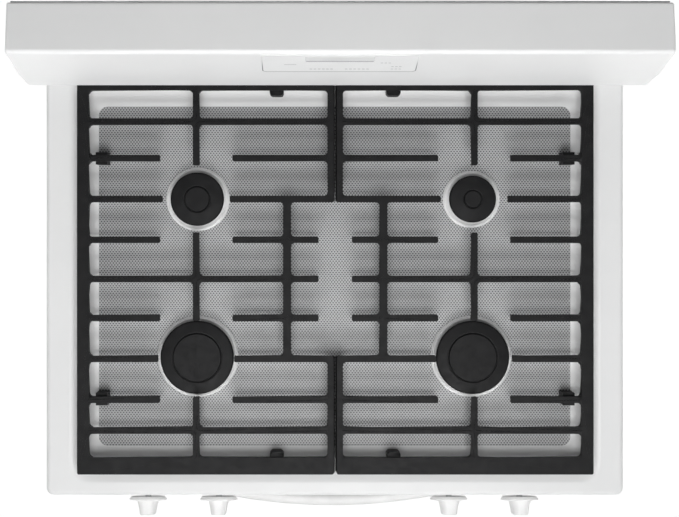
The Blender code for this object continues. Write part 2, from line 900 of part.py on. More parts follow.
def oven_rack(name, ledge):
    """A rack of welded rods that rests on one pair of ledges."""
    z = ledge_heights()[ledge] + FIT
    side = CAVITY_INNER - SIDE_CLEARANCE * 4
    rear = CAVITY_REAR - CAVITY_SHEET - RACK_REAR_GAP
    front = rear - RACK_DEPTH
    top = z + RACK_BAR
    bars = [
        box((-side, front, z), (side, front + RACK_BAR, top)),
        box((-side, rear - RACK_BAR, z), (side, rear, top)),
    ]
    bars += mirrored_boxes((side - RACK_BAR, front, z), (side, rear, top))
    middle = (front + rear) / 2
    bars.append(box((-side, middle, z), (side, middle + RACK_ROD, z + RACK_ROD)))
    pitch = 2 * side / (RACK_RODS + 1)
    low = z + RACK_BAR - RACK_ROD
    for k in range(RACK_RODS):
        x = -side + (k + 1) * pitch
        bars.append(box((x - RACK_ROD / 2, front, low), (x + RACK_ROD / 2, rear, top)))
    part(name, CHROME, bars, origin=(0, rear, z))


# --- cooktop


def well_outline(floor):
    """The well's outline (x0, y0, x1, y1) at its floor or at the rim."""
    side = HALF - (WELL_FLOOR_SIDE if floor else WELL_TOP_SIDE)
    front = y_at(WELL_FLOOR_FRONT if floor else WELL_TOP_FRONT)
    rear = REAR - (WELL_FLOOR_REAR if floor else WELL_TOP_REAR)
    return (-side, front, side, rear)


def between(low, high, share):
    return tuple(p + (q - p) * share for p, q in zip(low, high))


def cooktop():
    """One pressed sheet: rolled edges, a recessed well, and a raised ring at each burner."""
    outline = (-HALF, EDGE, HALF, REAR)
    inside = (-HALF + SHEET, EDGE + SHEET, HALF - SHEET, REAR - SHEET)
    skirt = COOKTOP_HEIGHT - LIP
    obj = part(
        "cooktop",
        SPECKLE,
        [tray_block(outline, outline, skirt, COOKTOP_HEIGHT, CORNER_RADIUS)],
    )
    cut(
        obj,
        [
            tray_block(
                inside, inside, skirt - SHEET, COOKTOP_HEIGHT - SHEET, CORNER_RADIUS - SHEET
            )
        ],
    )
    floor, rim = well_outline(True), well_outline(False)
    raised = 1 + (SHEET / 2) / WELL_DEPTH
    above = 1 + SHEET / WELL_DEPTH
    under = WELL_FLOOR - SHEET
    join(
        obj,
        [
            tray_block(
                floor,
                between(floor, rim, raised),
                under,
                under + WELL_DEPTH * raised,
                WELL_CORNER,
            )
        ],
    )
    cut(
        obj,
        [
            tray_block(
                floor,
                between(floor, rim, above),
                WELL_FLOOR,
                WELL_FLOOR + WELL_DEPTH * above,
                WELL_CORNER,
            )
        ],
    )
    rings = []
    holes = []
    for x, depth, cap, margin in BURNERS.values():
        y = y_at(depth)
        rings.append(rod((x, y, under + SHEET / 2), (x, y, BOSS_TOP), cap / 2 + margin, 32))
        neck = neck_radius(cap) + RUNNING
        holes.append(rod((x, y, under - SHEET), (x, y, BOSS_TOP + SHEET), neck, 24))
    join(obj, rings, overlapping=False)
    front, rear = flue_outlet()
    inner = FLUE_HALF_WIDTH - SHEET
    vent = box(
        (-inner, front + SHEET, COOKTOP_HEIGHT - 2 * SHEET),
        (inner, rear - SHEET, COOKTOP_HEIGHT + SHEET),
    )
    cut(obj, holes + [vent])


def neck_radius(cap):
    return cap / 2 - HEAD_UNDER_CAP - NECK_UNDER_HEAD


def burners():
    """Aluminium heads through the cooktop and the loose caps on them."""
    for place, (x, depth, cap, _) in BURNERS.items():
        frame = at(x, y_at(depth), 0)
        radius = cap / 2
        head = radius - HEAD_UNDER_CAP
        neck = neck_radius(cap)
        top = HEAD_BOTTOM + HEAD_HEIGHT
        bore = neck / 2
        turned(
            f"burner_head_{place}",
            ALUMINIUM,
            [
                (0, top - HEAD_HOLLOW),
                (bore, top - HEAD_HOLLOW),
                (bore + HEAD_TAPER, top),
                (head, top),
                (head + HEAD_TAPER, HEAD_BOTTOM),
                (neck, HEAD_BOTTOM),
                (neck, WELL_FLOOR - NECK_LENGTH),
                (0, WELL_FLOOR - NECK_LENGTH),
            ],
            frame,
            steps=24,
        )
        crown = CAP_BOTTOM + CAP_HEIGHT
        inner = radius * (FRONT_DISC_SHARE if cap == FRONT_CAP else REAR_DISC_SHARE)
        turned(
            f"burner_cap_{place}",
            CAST,
            [
                (0, crown),
                (inner, crown),
                (inner + CAP_STEP, crown - CAP_STEP),
                (radius - CAP_EDGE, crown - CAP_FALL),
                (radius, crown - CAP_SHOULDER),
                (radius, CAP_BOTTOM + CAP_CHAMFER),
                (radius - CAP_CHAMFER, CAP_BOTTOM),
                (0, CAP_BOTTOM),
            ],
            frame,
        )


def grate(name, side):
    """One cast grate: an outer frame, cross rows, and fingers around both burners."""
    low = COOKTOP_HEIGHT + GRATE_TOP - GRATE_BAR_HEIGHT
    high = COOKTOP_HEIGHT + GRATE_TOP
    outer = HALF - GRATE_SIDE
    edge = outer - GRATE_EDGE_BAR
    inner = GRATE_SPLIT / 2
    lap = INNER_BAR / 2
    front, rear = GRATE_FRONT, BODY_DEPTH - GRATE_REAR
    front_bar, rear_bar = front + GRATE_FRONT_BAR, rear - GRATE_REAR_BAR
    half_bar = GRATE_BAR / 2

    def bar(x0, x1, y0, y1, bottom=low, top=high):
        return box((side * x0, y_at(y0), bottom), (side * x1, y_at(y1), top))

    def row(x0, x1, y):
        return bar(x0, x1, y - half_bar, y + half_bar)

    def finger_rows(burner, reach, inner_end, sign):
        """Fingers beside a burner, from the side bar and from the inner bars."""
        y = burner + sign * FINGER_ROW
        return [
            row(BURNER_X + reach, edge + lap, y),
            row(inner_end, BURNER_X - reach, y),
        ]

    front_open = (FRONT_CAP + OPENING_MARGIN) / 2
    rear_open = REAR_OPENING / 2
    spine = SPINE / 2
    middle = (FRONT_BURNER + REAR_BURNER) / 2
    bars = [
        bar(edge, outer, front, rear),
        bar(inner, outer, front, front_bar),
        bar(inner, outer, rear_bar, rear),
        bar(inner, inner + INNER_BAR, REAR_BURNER - half_bar, rear),
        bar(inner, inner + INNER_BAR, front, FRONT_BURNER + half_bar),
        bar(SPINE_X - spine, SPINE_X + spine, FRONT_BURNER, REAR_BURNER),
        row(inner + lap, edge + lap, REAR_BURNER + REAR_OUTER_ROW),
        row(inner + lap, edge + lap, FRONT_BURNER - FRONT_OUTER_ROW),
        row(STUB_END_X, edge + lap, middle),
        row(BURNER_X + rear_open, edge + lap, REAR_BURNER),
        row(inner + lap, BURNER_X - rear_open, REAR_BURNER),
        row(BURNER_X + front_open, edge + lap, FRONT_BURNER),
        row(inner + lap, BURNER_X - front_open, FRONT_BURNER),
    ]
    bars += finger_rows(REAR_BURNER, FINGER_REACH, inner + lap, 1)
    bars += finger_rows(REAR_BURNER, FINGER_REACH, STUB_END_X, -1)
    bars += finger_rows(FRONT_BURNER, FINGER_REACH, STUB_END_X, 1)
    bars += finger_rows(FRONT_BURNER, FINGER_REACH, inner + lap, -1)
    for start, end in (
        (REAR_BURNER + rear_open, rear - lap),
        (FRONT_BURNER + front_open, REAR_BURNER - rear_open),
        (front + lap, FRONT_BURNER - front_open),
    ):
        bars.append(bar(BURNER_X - half_bar, BURNER_X + half_bar, start, end))
    foot_out = HALF - WELL_FLOOR_SIDE - SIDE_CLEARANCE
    for y in (REAR_BURNER + FINGER_ROW, FRONT_BURNER - FINGER_ROW):
        bars.append(
            bar(
                foot_out - FOOT_LENGTH,
                foot_out,
                y - FOOT_WIDTH / 2,
                y + FOOT_WIDTH / 2,
                WELL_FLOOR + FIT,
                low + GRATE_BAR_HEIGHT / 2,
            )
        )
    pad_bottom = COOKTOP_HEIGHT - WELL_DEPTH / 2
    pad = (PAD_X - PAD_WIDTH / 2, PAD_X + PAD_WIDTH / 2)
    bars.append(bar(*pad, rear_bar - PAD_REACH, rear_bar + lap, pad_bottom, high - lap))
    bars.append(bar(*pad, front_bar - lap, front_bar + PAD_REACH, pad_bottom, high - lap))
    part(name, CAST, bars, origin=(side * BURNER_X, y_at(middle), high))


# --- control panel, valves and knobs


def panel_face(z, inset=0.0):
    """The depth of the leaning front face at a height, moved back by the inset."""
    lean = math.tan(PANEL_TILT) * (PANEL_TOP - z)
    return -PANEL_TOP_PROUD - lean + inset


def knob_frame(x):
    """Local z runs out of the panel at the knob's centre, local y runs up the panel."""
    turn = Matrix.Rotation(math.radians(90) - PANEL_TILT, 4, "X")
    return at(x, y_at(panel_face(KNOB_Z)), KNOB_Z) @ turn


def control_panel():
    """Folded panel, open at the back, that leans out at the bottom."""
    back = BODY_FRONT - FIT
    outer = [
        (y_at(panel_face(PANEL_TOP)), PANEL_TOP),
        (y_at(panel_face(PANEL_BOTTOM)), PANEL_BOTTOM),
        (back, PANEL_BOTTOM),
        (back, PANEL_TOP),
    ]
    high, low = PANEL_TOP - SHEET, PANEL_BOTTOM + SHEET
    inner = [
        (y_at(panel_face(high, SHEET)), high),
        (y_at(panel_face(low, SHEET)), low),
        (back + SHEET, low),
        (back + SHEET, high),
    ]
    obj = part("control_panel", WHITE, [prism(outer, -HALF, HALF)])
    cut(obj, [prism(inner, -HALF + SHEET, HALF - SHEET)])
    holes = []
    for x in KNOBS.values():
        frame = knob_frame(x)
        start, end = (frame @ Vector((0, 0, side * STEM_RADIUS * 2)) for side in (-1, 1))
        holes.append(rod(start, end, STEM_RADIUS + STEM_HOLE_GAP, 20))
    cut(obj, holes)


def valve_and_knob(number, x):
    """A plug valve, its push-and-turn stem, and the knob on it."""
    frame = knob_frame(x)
    half = VALVE_WIDTH / 2
    neck = VALVE_NECK / 2
    back = -VALVE_FRONT - VALVE_LENGTH
    shoulder = -VALVE_FRONT - VALVE_NECK_LENGTH
    body = part(
        f"valve_body_{number}",
        BRASS,
        [
            box((-half, -half, back), (half, half, shoulder)),
            box((-neck, -neck, shoulder - VALVE_NECK_LAP), (neck, neck, -VALVE_FRONT)),
        ],
        frame=frame,
    )
    bore = STEM_BACK + KNOB_TRAVEL + STEM_END_GAP
    cut(body, [rod((0, 0, -bore), (0, 0, 0), STEM_RADIUS + RUNNING)])
    part(
        f"valve_stem_{number}",
        STEEL,
        [rod((0, 0, -STEM_BACK), (0, 0, STEM_FRONT), STEM_RADIUS)],
        frame=frame,
    )
    back = KNOB_TRAVEL + KNOB_BACK_GAP
    front = back + KNOB_SKIRT
    knob = turned(
        f"knob_{number}",
        PLASTIC,
        [
            (0, front + KNOB_CROWN),
            (KNOB_RADIUS - KNOB_SHOULDER, front + KNOB_CROWN * 0.9),
            (KNOB_RADIUS - KNOB_EDGE, front),
            (KNOB_RADIUS, front - KNOB_EDGE),
            (KNOB_RADIUS - KNOB_UNDERCUT, back),
            (0, back),
        ],
        frame,
        steps=28,
    )
    wide, tall = GRIP_WIDTH / 2, GRIP_HEIGHT / 2
    tip = GRIP_TIP_WIDTH / 2
    grip = tray_block(
        (-wide, -tall, wide, tall),
        (-tip, -tall * 0.9, tip, tall * 0.9),
        front - KNOB_CROWN,
        KNOB_LENGTH,
        tip * 0.6,
        segments=3,
    )
    join(knob, [grip], overlapping=False)
    cut(knob, [rod((0, 0, 0), (0, 0, STEM_FRONT + SIDE_CLEARANCE), STEM_RADIUS + RUNNING)])


def manifold_place():
    """The manifold's centre (y, z), just behind the valves."""
    reach = VALVE_FRONT + VALVE_LENGTH + PIPE_RADIUS + FIT * 2
    centre = knob_frame(0) @ Vector((0, 0, -reach))
    return centre.y, centre.z


def regulator_place():
    """The regulator's centre (x, z) near the rear right corner."""
    return HALF - SHEET - REGULATOR_RADIUS - REGULATOR_SIDE_GAP, BASE_TOP + REGULATOR_RISE


def gland_place():
    return -HALF + GLAND_FROM_SIDE, BASE_TOP + GLAND_RISE


def supply_pipes():
    """Manifold across the front, and its feed down to the regulator at the rear."""
    y, z = manifold_place()
    x = HALF - SHEET - PIPE_RADIUS - PIPE_SIDE_GAP
    regulator_x, regulator_z = regulator_place()
    rear = BACK_PANEL - REGULATOR_RADIUS - REGULATOR_REAR_GAP
    top = regulator_z + REGULATOR_HEIGHT / 2 + FIT
    route = [
        (-x, y, z),
        (x, y, z),
        (x, rear, z),
        (regulator_x, rear, z - PIPE_OFFSET_DROP),
        (regulator_x, rear, top),
    ]
    part("manifold_pipe", STEEL, [tube(route, PIPE_RADIUS)])
    half = REGULATOR_HEIGHT / 2
    part(
        "gas_regulator",
        ALUMINIUM,
        [
            rod((0, 0, -half), (0, 0, half), REGULATOR_RADIUS, 20),
            rod((0, 0, 0), (0, BACK_RECESS + INLET_REACH, 0), INLET_RADIUS, 16),
        ],
        frame=at(regulator_x, rear, regulator_z),
    )


def cord_gland():
    """Plastic bush in the back panel where the supply cord enters."""
    x, z = gland_place()
    frame = at(x, BACK_PANEL - GLAND_FLANGE, z) @ Matrix.Rotation(math.radians(-90), 4, "X")
    face = GLAND_FLANGE + SHEET + FIT
    neck = GLAND_RADIUS * 0.75
    profile = [
        (GLAND_BORE, face + GLAND_REACH),
        (neck, face + GLAND_REACH),
        (GLAND_RADIUS, face + GLAND_FLANGE),
        (GLAND_RADIUS, face),
        (neck, face),
        (neck, 0),
        (GLAND_BORE, 0),
        (GLAND_BORE, face + GLAND_REACH),
    ]
    turned("cord_gland", BLACK, profile, frame, steps=16)


# --- backguard


def backguard_outline(inset, drop, behind):
    """The backguard's side outline (y, z), inset from its outer face."""
    top = COOKTOP_HEIGHT + BACKGUARD_RISE
    back = REAR - BACKGUARD_BACK + behind
    return [
        (REAR - VENT_SETBACK + inset, COOKTOP_HEIGHT + FIT - drop),
        (REAR - VENT_SETBACK + inset, COOKTOP_HEIGHT + VENT_HEIGHT + inset),
        (REAR - LIP_SETBACK + inset, COOKTOP_HEIGHT + LIP_RISE + inset),
        (REAR - BREAK_SETBACK + inset, COOKTOP_HEIGHT + BREAK_RISE),
        (REAR - TOP_SETBACK + inset, top - EDGE_ROUND - inset * 0.6),
        (REAR - TOP_SETBACK + EDGE_ROUND + inset * 0.6, top - inset),
        (back, top - TOP_FALL - inset),
        (back, COOKTOP_HEIGHT + FIT - drop),
    ]


def backguard_shell():
    """Bent sheet shell with closed ends, open at the rear and underneath."""
    obj = part("backguard_shell", WHITE, [prism(backguard_outline(0, 0, 0), -HALF, HALF)])
    hollow = prism(backguard_outline(SHEET, SHEET, SHEET), -HALF + SHEET, HALF - SHEET)
    cut(obj, [hollow])
    wall = REAR - VENT_SETBACK
    slots = []
    for k in range(VENT_SLOTS):
        x = (k - (VENT_SLOTS - 1) / 2) * VENT_SLOT_PITCH
        low = (x - VENT_SLOT_LENGTH / 2, wall - SHEET, COOKTOP_HEIGHT + VENT_SLOT_RISE)
        high = (x + VENT_SLOT_LENGTH / 2, wall + 2 * SHEET, low[2] + VENT_SLOT_HEIGHT)
        slots.append(box(low, high))
    cut(obj, slots)


def backguard_back_cover():
    """Sheet over the open rear of the backguard, with louvre slots."""
    front = REAR - BACKGUARD_BACK + FIT
    bottom = COOKTOP_HEIGHT + COVER_MARGIN
    top = COOKTOP_HEIGHT + BACKGUARD_RISE - TOP_FALL - COVER_MARGIN
    half = HALF - COVER_MARGIN
    obj = part(
        "backguard_back_cover", STEEL, [box((-half, front, bottom), (half, front + SHEET, top))]
    )
    slots = []
    for k in range(LOUVRE_COUNT):
        z = bottom + LOUVRE_RISE + k * LOUVRE_PITCH
        low = (-LOUVRE_HALF, front - SHEET, z)
        slots.append(box(low, (LOUVRE_HALF, front + 2 * SHEET, z + LOUVRE_HEIGHT)))
    cut(obj, slots)


def face_frame(below_top):
    """On the backguard's upper face: local x right, y up the face, z out of it."""
    rise = BACKGUARD_RISE - EDGE_ROUND - BREAK_RISE
    lean = math.atan2(BREAK_SETBACK - TOP_SETBACK, rise)
    z = COOKTOP_HEIGHT + BACKGUARD_RISE - below_top
    y = REAR - TOP_SETBACK - (BACKGUARD_RISE - EDGE_ROUND - (z - COOKTOP_HEIGHT)) * math.tan(lean)
    return at(0, y, z) @ Matrix.Rotation(math.radians(90) - lean, 4, "X")


def rounded_rectangle(half_width, low, high, radius, steps=4):
    """Outline points (x, y) with rounded corners."""
    points = []
    for turn, x, y in (
        (0, half_width - radius, high - radius),
        (1, radius - half_width, high - radius),
        (2, radius - half_width, low + radius),
        (3, half_width - radius, low + radius),
    ):
        for k in range(steps + 1):
            angle = math.radians(90 * (turn + k / steps))
            points.append((x + radius * math.cos(angle), y + radius * math.sin(angle)))
    return points


def keypad():
    """Membrane keypad on the backguard, its display lens, and the clock board behind."""
    frame = face_frame(OVERLAY_BELOW_TOP)
    half = OVERLAY_HEIGHT / 2
    outline = rounded_rectangle(OVERLAY_WIDTH / 2, -half, half, OVERLAY_CORNER)
    front = FIT + OVERLAY_THICKNESS
    part("keypad_overlay", PLASTIC, [slab(outline, FIT, front)], frame=frame)
    low = DISPLAY_RISE - DISPLAY_HEIGHT / 2
    lens = rounded_rectangle(DISPLAY_WIDTH / 2, low, low + DISPLAY_HEIGHT, DISPLAY_CORNER, 2)
    part(
        "display_window",
        GLASS_DARK,
        [slab(lens, front + FIT, front + FIT + DISPLAY_THICKNESS)],
        frame=frame,
    )
    board = OVERLAY_WIDTH / 2
    back = -BOARD_FRONT - BOARD_DEPTH
    part(
        "control_board",
        BLACK,
        [box((-board, -half, back), (board, half - OVERLAY_CORNER, -BOARD_FRONT))],
        frame=frame,
    )


# --- oven door


def hinge_notches(front, rear):
    """Clearance for the fixed hinge arms at the door's lower rear corners."""
    half = HINGE_ARM / 2 + NOTCH_SIDE
    return mirrored_boxes(
        (HINGE_X - half, front, DOOR_BOTTOM - DOOR_GAP),
        (HINGE_X + half, rear, PIVOT.z + HINGE_ARM + NOTCH_TOP),
    )


def window_box(lap, front, rear):
    half = WINDOW_WIDTH / 2 + lap
    return box((-half, front, WINDOW_BOTTOM - lap), (half, rear, WINDOW_TOP + lap))


def door():
    """Outer tray, two panes, inner liner, gasket and the bowed handle."""
    back = DOOR_BACK - LINER - FIT
    skin = DOOR_FRONT + SHEET
    panel = part(
        "door_outer_panel",
        WHITE,
        [box((-DOOR_HALF, DOOR_FRONT, DOOR_BOTTOM), (DOOR_HALF, back, DOOR_TOP))],
        origin=PIVOT,
    )
    cut(
        panel,
        [
            box(
                (-DOOR_HALF + SHEET, skin, DOOR_BOTTOM + SHEET),
                (DOOR_HALF - SHEET, back + SHEET, DOOR_TOP - SHEET),
            )
        ],
    )
    cut(
        panel,
        [window_box(0, DOOR_FRONT - SHEET, skin + SHEET)]
        + hinge_notches(skin + FIT, DOOR_BACK + SHEET),
    )
    part(
        "door_window_glass",
        GLASS_DARK,
        [window_box(GLASS_LAP, skin + FIT, skin + FIT + GLASS)],
        origin=PIVOT,
    )
    liner_front = DOOR_BACK - LINER
    margin = SIDE_CLEARANCE * 2
    liner = part(
        "door_inner_liner",
        GREY,
        [
            box(
                (-DOOR_HALF + margin, liner_front, DOOR_BOTTOM + margin),
                (DOOR_HALF - margin, DOOR_BACK, DOOR_TOP - margin),
            )
        ],
        origin=PIVOT,
    )
    cut(
        liner,
        [window_box(0, liner_front - SHEET, DOOR_BACK + SHEET)]
        + hinge_notches(liner_front - SHEET, DOOR_BACK + SHEET),
    )
    lug_out = HINGE_X - HINGE_ARM / 2 - RUNNING * 3
    lug_top = PIVOT.z + HINGE_ARM + LUG_RISE
    lugs = mirrored_boxes(
        (lug_out - HINGE_LUG, skin + LUG_FRONT_GAP, DOOR_BOTTOM + margin * 1.5),
        (lug_out, DOOR_BACK - LINER / 2, lug_top),
    )
    join(liner, lugs, overlapping=False)
    holes = []
    for side in (-1, 1):
        start = (side * (lug_out - HINGE_LUG * 2), PIVOT.y, PIVOT.z)
        end = (side * (lug_out + HINGE_LUG), PIVOT.y, PIVOT.z)
        holes.append(rod(start, end, HINGE_PIN_RADIUS + RUNNING / 2))
    cut(liner, holes)
    part(
        "door_inner_glass",
        GLASS_DARK,
        [window_box(GLASS_LAP, liner_front - FIT - GLASS, liner_front - FIT)],
        origin=PIVOT,
    )
    door_gasket()
    door_handle()


def door_gasket():
    """Woven seal between the liner and the face frame."""
    half = CAVITY_HALF + GASKET
    low, high = CAVITY_BOTTOM - GASKET, CAVITY_TOP + GASKET
    front, rear = DOOR_BACK + FIT, FRAME_FRONT - FIT
    obj = part(
        "door_gasket",
        GASKET_CORD,
        [box((-half, front, low), (half, rear, high))],
        origin=PIVOT,
    )
    cut(
        obj,
        [
            box(
                (-half + GASKET, front - SHEET, low + GASKET),
                (half - GASKET, rear + SHEET, high - GASKET),
            )
        ],
    )


def door_handle():
    """A bar bowed away from the door, whose ends run into the door's face."""
    z = COOKTOP_HEIGHT - HANDLE_DROP
    door = DOOR_FRONT - FIT
    front = y_at(-HANDLE_REACH)

    def bow(x, start, radius):
        return start + radius - math.sqrt(radius * radius - x * x)

    inner_radius = HANDLE_BOW_RADIUS - HANDLE_DEPTH
    start = front + HANDLE_DEPTH
    drop = door - start
    inner_half = math.sqrt(inner_radius**2 - (inner_radius - drop) ** 2)
    steps = 12
    outer = []
    inner = []
    for k in range(steps + 1):
        share = 1 - 2 * k / steps
        x = HANDLE_HALF_LENGTH * share
        outer.append((x, bow(x, front, HANDLE_BOW_RADIUS)))
        x = -inner_half * share
        inner.append((x, min(bow(x, start, inner_radius), door)))
    points = outer + [(-HANDLE_HALF_LENGTH, door)] + inner + [(HANDLE_HALF_LENGTH, door)]
    half = HANDLE_HEIGHT / 2
    part("door_handle", PLASTIC, [slab(points, z - half, z + half)], origin=PIVOT)


def door_hinge(name, side):
    """Fixed receiver behind the face frame, its arm, and the pin that the door turns on."""
    arm = HINGE_ARM / 2
    x = side * HINGE_X
    tip = PIVOT.y - HINGE_PIN_RADIUS - HINGE_TIP
    receiver = arm + HINGE_BOX_MARGIN
    pin_end = HINGE_X - arm - RUNNING * 3 - HINGE_LUG - RUNNING * 2
    shapes = [
        box((x - arm, tip, PIVOT.z - arm), (x + arm, CAVITY_FRONT + HINGE_BOX_MARGIN, PIVOT.z + arm)),
        box(
            (x - receiver, CAVITY_FRONT, PIVOT.z - receiver),
            (x + receiver, CAVITY_FRONT + HINGE_BOX_LENGTH, PIVOT.z + receiver),
        ),
        rod((x, PIVOT.y, PIVOT.z), (side * pin_end, PIVOT.y, PIVOT.z), HINGE_PIN_RADIUS),
    ]
    part(name, STEEL, shapes)


# --- drawer


def drawer():
    """Hollow front and the open-topped bin that hangs on the rails by its side lips."""
    front = part(
        "drawer_front",
        WHITE,
        [box((-DOOR_HALF, DOOR_FRONT, DRAWER_BOTTOM), (DOOR_HALF, DOOR_BACK, DRAWER_TOP))],
        origin=(0, DOOR_BACK, DRAWER_BOTTOM),
    )
    cut(
        front,
        [
            box(
                (-DOOR_HALF + SHEET, DOOR_FRONT + SHEET, DRAWER_BOTTOM + SHEET),
                (DOOR_HALF - SHEET, DOOR_BACK + SHEET, DRAWER_TOP - SHEET),
            )
        ],
    )
    start = DOOR_BACK + FIT
    end = DOOR_BACK + BIN_LENGTH
    tub = part(
        "drawer_bin",
        STEEL,
        [box((-BIN_HALF, start, BIN_FLOOR), (BIN_HALF, end, BIN_TOP))],
        origin=(0, DOOR_BACK, DRAWER_BOTTOM),
    )
    cut(
        tub,
        [
            box(
                (-BIN_HALF + SHEET, start + SHEET, BIN_FLOOR + SHEET),
                (BIN_HALF - SHEET, end - SHEET, BIN_TOP + SHEET),
            )
        ],
    )
    lips = mirrored_boxes(
        (BIN_HALF - SHEET, start + BIN_LIP_START, BIN_TOP - SHEET), (BIN_HALF + BIN_LIP, end, BIN_TOP)
    )
    join(tub, lips, overlapping=False)


def build_range():
    side_panel("side_panel_left", -1)
    side_panel("side_panel_right", 1)
    base_frame()
    back_panel()
    front_frame()
    levelling_legs()
    oven_cavity()
    insulation_wrap()
    oven_vent()
    oven_floor()
    oven_burner("bake_burner", (CAVITY_BOTTOM + CAVITY_SHEET + OVEN_FLOOR) / 2)
    oven_burner("broil_burner", CAVITY_TOP - CAVITY_SHEET - OVEN_BURNER_RADIUS * 2.5)
    oven_light()
    for name, ledge in zip(("oven_rack_lower", "oven_rack_upper"), RACK_LEDGES):
        oven_rack(name, ledge)
    cooktop()
    burners()
    grate("grate_left", -1)
    grate("grate_right", 1)
    control_panel()
    for number, x in KNOBS.items():
        valve_and_knob(number, x)
    supply_pipes()
    cord_gland()
    backguard_shell()
    backguard_back_cover()
    keypad()
    door()
    door_hinge("door_hinge_left", -1)
    door_hinge("door_hinge_right", 1)
    drawer()


build_range()
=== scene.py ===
"""Looks of a freestanding gas range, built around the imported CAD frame.

Metres, +Z up, the front faces -Y. Places come from the frame's node boxes and
joints; the sizes named here are only those of surface detail. Each piece has
its own function and rides on the CAD body that it belongs to.
"""

import json
import math

import bmesh
import bpy
import numpy as np
from mathutils import Matrix, Vector
from mathutils.geometry import delaunay_2d_cdt


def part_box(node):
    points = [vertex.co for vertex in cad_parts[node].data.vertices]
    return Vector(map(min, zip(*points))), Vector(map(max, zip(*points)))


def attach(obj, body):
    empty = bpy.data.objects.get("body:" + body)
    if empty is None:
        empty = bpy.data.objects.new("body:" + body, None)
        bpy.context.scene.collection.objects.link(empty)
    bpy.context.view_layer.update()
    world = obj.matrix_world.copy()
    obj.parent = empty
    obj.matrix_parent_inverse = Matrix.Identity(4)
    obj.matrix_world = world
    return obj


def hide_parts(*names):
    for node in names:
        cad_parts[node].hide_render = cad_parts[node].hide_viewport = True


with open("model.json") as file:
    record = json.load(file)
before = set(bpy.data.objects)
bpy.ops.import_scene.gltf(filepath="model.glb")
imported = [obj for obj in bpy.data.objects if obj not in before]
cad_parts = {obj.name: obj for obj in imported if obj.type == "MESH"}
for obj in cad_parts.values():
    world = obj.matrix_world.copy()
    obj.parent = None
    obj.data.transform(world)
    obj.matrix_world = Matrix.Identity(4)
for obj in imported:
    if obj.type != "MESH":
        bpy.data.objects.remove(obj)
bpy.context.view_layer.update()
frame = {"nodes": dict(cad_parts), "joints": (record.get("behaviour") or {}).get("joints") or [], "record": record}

NODES = frame["nodes"]
JOINTS = {joint["name"]: joint for joint in frame["joints"]}
PLACES = ("front_left", "front_right", "rear_left", "rear_right")
BODIES = frame["record"]["behaviour"]["bodies"]
BODY_OF = {node: body for body, members in BODIES.items() for node in members}
SLOT_OF = {row["node"]: row["material_slot"] for row in frame["record"]["subparts"]}

# --- planes of the frame that several pieces share
COOKTOP_LOW, COOKTOP_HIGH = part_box("cooktop")
HALF = COOKTOP_HIGH.x
EDGE = COOKTOP_LOW.y
REAR = COOKTOP_HIGH.y
TOP = COOKTOP_HIGH.z
WELL_DEPTH = 0.012
WELL_FLOOR = TOP - WELL_DEPTH
SHEET = 0.0015


# --- node materials


